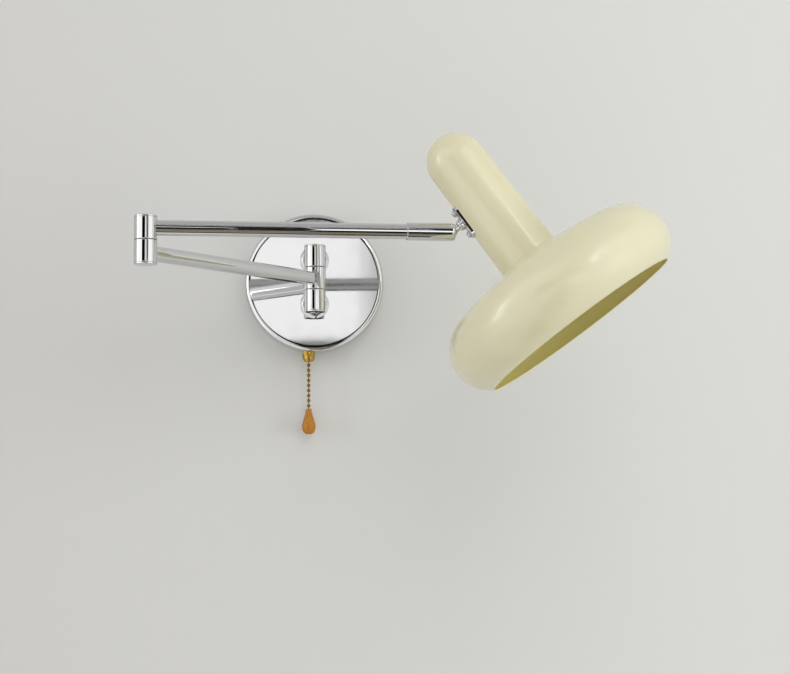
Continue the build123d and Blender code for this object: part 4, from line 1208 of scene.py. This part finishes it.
def studio_card(name, left, right, low, high, grey):
    """A card on a dome round the lamp that only glossy surfaces see. Left and right are in degrees."""
    edge = arc(0, 0, DOME_RADIUS, low, high, max(2, int((high - low) / CARD_STEP)))
    card = turned(name, edge, max(2, int((right - left) / CARD_STEP)), right - left)
    move_to(card, Matrix.Rotation(math.radians(left - 90), 4, "Z"))
    material = bpy.data.materials.new("studio_" + name)
    material.use_nodes = True
    tree = material.node_tree
    tree.nodes.remove(tree.nodes["Principled BSDF"])
    glow = tree.nodes.new("ShaderNodeEmission")
    glow.inputs["Color"].default_value = (*grey, 1)
    tree.links.new(glow.outputs[0], tree.nodes["Material Output"].inputs["Surface"])
    card.data.materials.append(material)
    for rays in ("camera", "diffuse", "transmission", "volume_scatter", "shadow"):
        setattr(card, "visible_" + rays, False)


def soft_lamp(name, at, target, size, watts, mirrored):
    """A rectangular studio lamp."""
    only()
    bpy.ops.object.light_add(type="AREA", location=at)
    lamp = bpy.context.object
    lamp.name = name
    lamp.data.shape = "RECTANGLE"
    lamp.data.size, lamp.data.size_y = size
    lamp.data.energy = watts
    lamp.rotation_euler = (Vector(target) - Vector(at)).to_track_quat("-Z", "Y").to_euler()
    lamp.visible_camera = False
    lamp.visible_glossy = mirrored
    return lamp


# name, place, the place that it points at, width and height, the level that sets its watts, seen in metal
LAMPS = (
    ("key_lamp", (1.1, -2.4, 1.8), (0.05, -0.1, 0), (2.4, 2.4), "key", True),
    ("side_lamp", (-2.2, -0.75, 0.25), (0.1, -0.2, 0.05), (0.35, 1.2), "side", True),
    ("fill_lamp", (2.2, -1.1, 0.05), (0.3, -0.2, 0), (0.9, 0.9), "fill", False),
)

# name, left, right, lowest and highest angle in degrees, brightness
CARDS = (
    ("black_left", -31, -4.2, 1, 16, (0.004, 0.004, 0.004)),
    ("white_left", -72, -31.5, -35, 45, (1.45, 1.45, 1.43)),
    ("white_right", 28, 66, -15, 45, (1.40, 1.40, 1.38)),
    ("grey_right", 67, 82, -15, 45, (0.95, 0.95, 0.93)),
    ("white_face", -4, 3.3, 4.2, 10, (1.33, 1.33, 1.32)),
    ("pale_face", 3.3, 3.9, 4.2, 10, (1.02, 1.02, 1.01)),
    ("grey_face", 3.9, 4.6, 4.2, 10, (0.78, 0.78, 0.77)),
    ("ring_spot", 18, 30, 20, 30, (7.0, 7.0, 6.8)),
    ("white_strip", 8.6, 23, -9, 6.5, (1.55, 1.55, 1.53)),
    ("dark_strip", 14.1, 24.5, 6.8, 38, (0.015, 0.015, 0.015)),
    ("dark_arm", 8.6, 14, 11, 30, (0.07, 0.07, 0.07)),
    ("black_over", -4, 8.5, 10.1, 30, (0.03, 0.03, 0.027)),
    ("black_gap", 4.7, 8.5, -15, 10, (0.01, 0.01, 0.006)),
    ("black_middle", -4, 4.6, -15, 4.1, (0.01, 0.01, 0.006)),
    ("black_low", 8.6, 17, -31, -9.2, (0.004, 0.004, 0.003)),
    ("dark_low", -10, 8.5, -29, -15.2, (0.055, 0.05, 0.032)),
    ("tan_low", -10, 30, -43, -31.2, (0.19, 0.17, 0.14)),
    ("sand_low", -10, 30, -57.5, -43.2, (0.34, 0.30, 0.22)),
    ("brown_low", -10, 30, -76, -57.7, (0.12, 0.085, 0.045)),
    ("dark_foot", 31, 60, -89, -60, (0.05, 0.04, 0.03)),
    ("grey_high", -4, 28, 31, 43, (0.28, 0.28, 0.275)),
    ("grey_over", -180, 180, 43.5, 90, (0.56, 0.56, 0.55)),
)


class LAMP_OT_stage(bpy.types.Operator):
    """Sets the camera, the wall, the floor, the lamps and the cards that the metal mirrors"""
    bl_idname = "lamp.stage"
    bl_label = "Studio"
    bl_options = {"REGISTER", "UNDO"}

    def execute(self, context):
        scene = context.scene
        levels, colours = scene.lamp_lights, scene.lamp_colours
        only()
        bpy.ops.object.camera_add()
        camera = context.object
        level_ahead = Vector((math.sin(CAMERA_YAW), math.cos(CAMERA_YAW), 0))
        ahead = level_ahead * math.cos(CAMERA_PITCH) + UP * math.sin(CAMERA_PITCH)
        side = level_ahead.cross(UP)
        over = side.cross(ahead)
        right = side * math.cos(CAMERA_ROLL) + over * math.sin(CAMERA_ROLL)
        top = over * math.cos(CAMERA_ROLL) - side * math.sin(CAMERA_ROLL)
        camera.matrix_world = Matrix((right, top, -ahead)).transposed().to_4x4()
        camera.location = CAMERA_AT
        camera.data.sensor_fit = "HORIZONTAL"
        camera.data.sensor_width = CAMERA_SENSOR
        camera.data.lens = CAMERA_LENS
        camera.data.clip_start = 0.05
        scene.camera = camera

        wall_at = standing((0, WALL_GAP, 0), OUT_OF_WALL)
        # The wall gets painted light, brighter at the right.
        stage_sheet("wall", WALL_SIZE, wall_at, colours.wall, colours.wall_painted_light, OPEN_BEHIND_PLATE)
        floor_at = standing(FLOOR_AT, UP)
        floor = stage_sheet("floor", FLOOR_SIZE, floor_at, colours.floor, colours.floor)
        floor.visible_glossy = False

        for name, at, target, size, watts, mirrored in LAMPS:
            soft_lamp(name, at, target, size, getattr(levels, watts), mirrored)
        for card in CARDS:
            studio_card(*card)

        world = bpy.data.worlds.new("studio_room")
        scene.world = world
        world.use_nodes = True
        tree = world.node_tree
        back = tree.nodes["Background"]
        back.inputs["Color"].default_value = (1, 1, 0.995, 1)
        ray = tree.nodes.new("ShaderNodeLightPath")

        def pick(flag, otherwise, chosen):
            node = tree.nodes.new("ShaderNodeMix")
            tree.links.new(ray.outputs[flag], node.inputs["Factor"])
            if isinstance(otherwise, float):
                node.inputs["A"].default_value = otherwise
            else:
                tree.links.new(otherwise, node.inputs["A"])
            node.inputs["B"].default_value = chosen
            return node.outputs["Result"]

        lit = pick("Is Glossy Ray", levels.room, levels.mirrored)
        tree.links.new(pick("Is Camera Ray", lit, 1.0), back.inputs["Strength"])
        scene.view_settings.view_transform = "Standard"
        return {"FINISHED"}


# ---- the panel ----
GROUPS = (
    ("lamp_plate", LampPlateSizes, "Wall plate"),
    ("lamp_arms", LampArmSizes, "Hub, elbow and arms"),
    ("lamp_joint", LampJointSizes, "Ball joint"),
    ("lamp_shade", LampShadeSizes, "Shade"),
    ("lamp_switch", LampSwitchSizes, "Pull switch"),
    ("lamp_colours", LampColours, "Colours"),
    ("lamp_lights", LampLightLevels, "Studio"),
)

STEPS = (
    LAMP_OT_hardware, LAMP_OT_wall_plate, LAMP_OT_stems, LAMP_OT_hub, LAMP_OT_elbow, LAMP_OT_arms,
    LAMP_OT_sleeve, LAMP_OT_stud, LAMP_OT_shade_ring, LAMP_OT_shade_neck, LAMP_OT_strap, LAMP_OT_bulb,
    LAMP_OT_bell, LAMP_OT_chain, LAMP_OT_drop, LAMP_OT_spring, LAMP_OT_stage,
)


class LAMP_PT_panel(bpy.types.Panel):
    """The lamp's sizes, colours and steps"""
    bl_idname = "LAMP_PT_panel"
    bl_label = "Accordion Wall Lamp"
    bl_space_type = "VIEW_3D"
    bl_region_type = "UI"
    bl_category = "Lamp"

    def draw(self, context):
        for attribute, group, title in GROUPS:
            box = self.layout.box()
            box.label(text=title)
            for name in group.__annotations__:
                box.prop(getattr(context.scene, attribute), name)
        for step in STEPS:
            self.layout.operator(step.bl_idname)


def register():
    for attribute, group, title in GROUPS:
        bpy.utils.register_class(group)
        setattr(bpy.types.Scene, attribute, bpy.props.PointerProperty(type=group, name=title))
    for step in STEPS:
        bpy.utils.register_class(step)
    bpy.utils.register_class(LAMP_PT_panel)


def unregister():
    bpy.utils.unregister_class(LAMP_PT_panel)
    for step in reversed(STEPS):
        bpy.utils.unregister_class(step)
    for attribute, group, title in reversed(GROUPS):
        delattr(bpy.types.Scene, attribute)
        bpy.utils.unregister_class(group)


def main():
    register()
    for step in STEPS:
        family, name = step.bl_idname.split(".")
        getattr(getattr(bpy.ops, family), name)()
    bpy.context.view_layer.update()


if __name__ == "__main__":
    main()
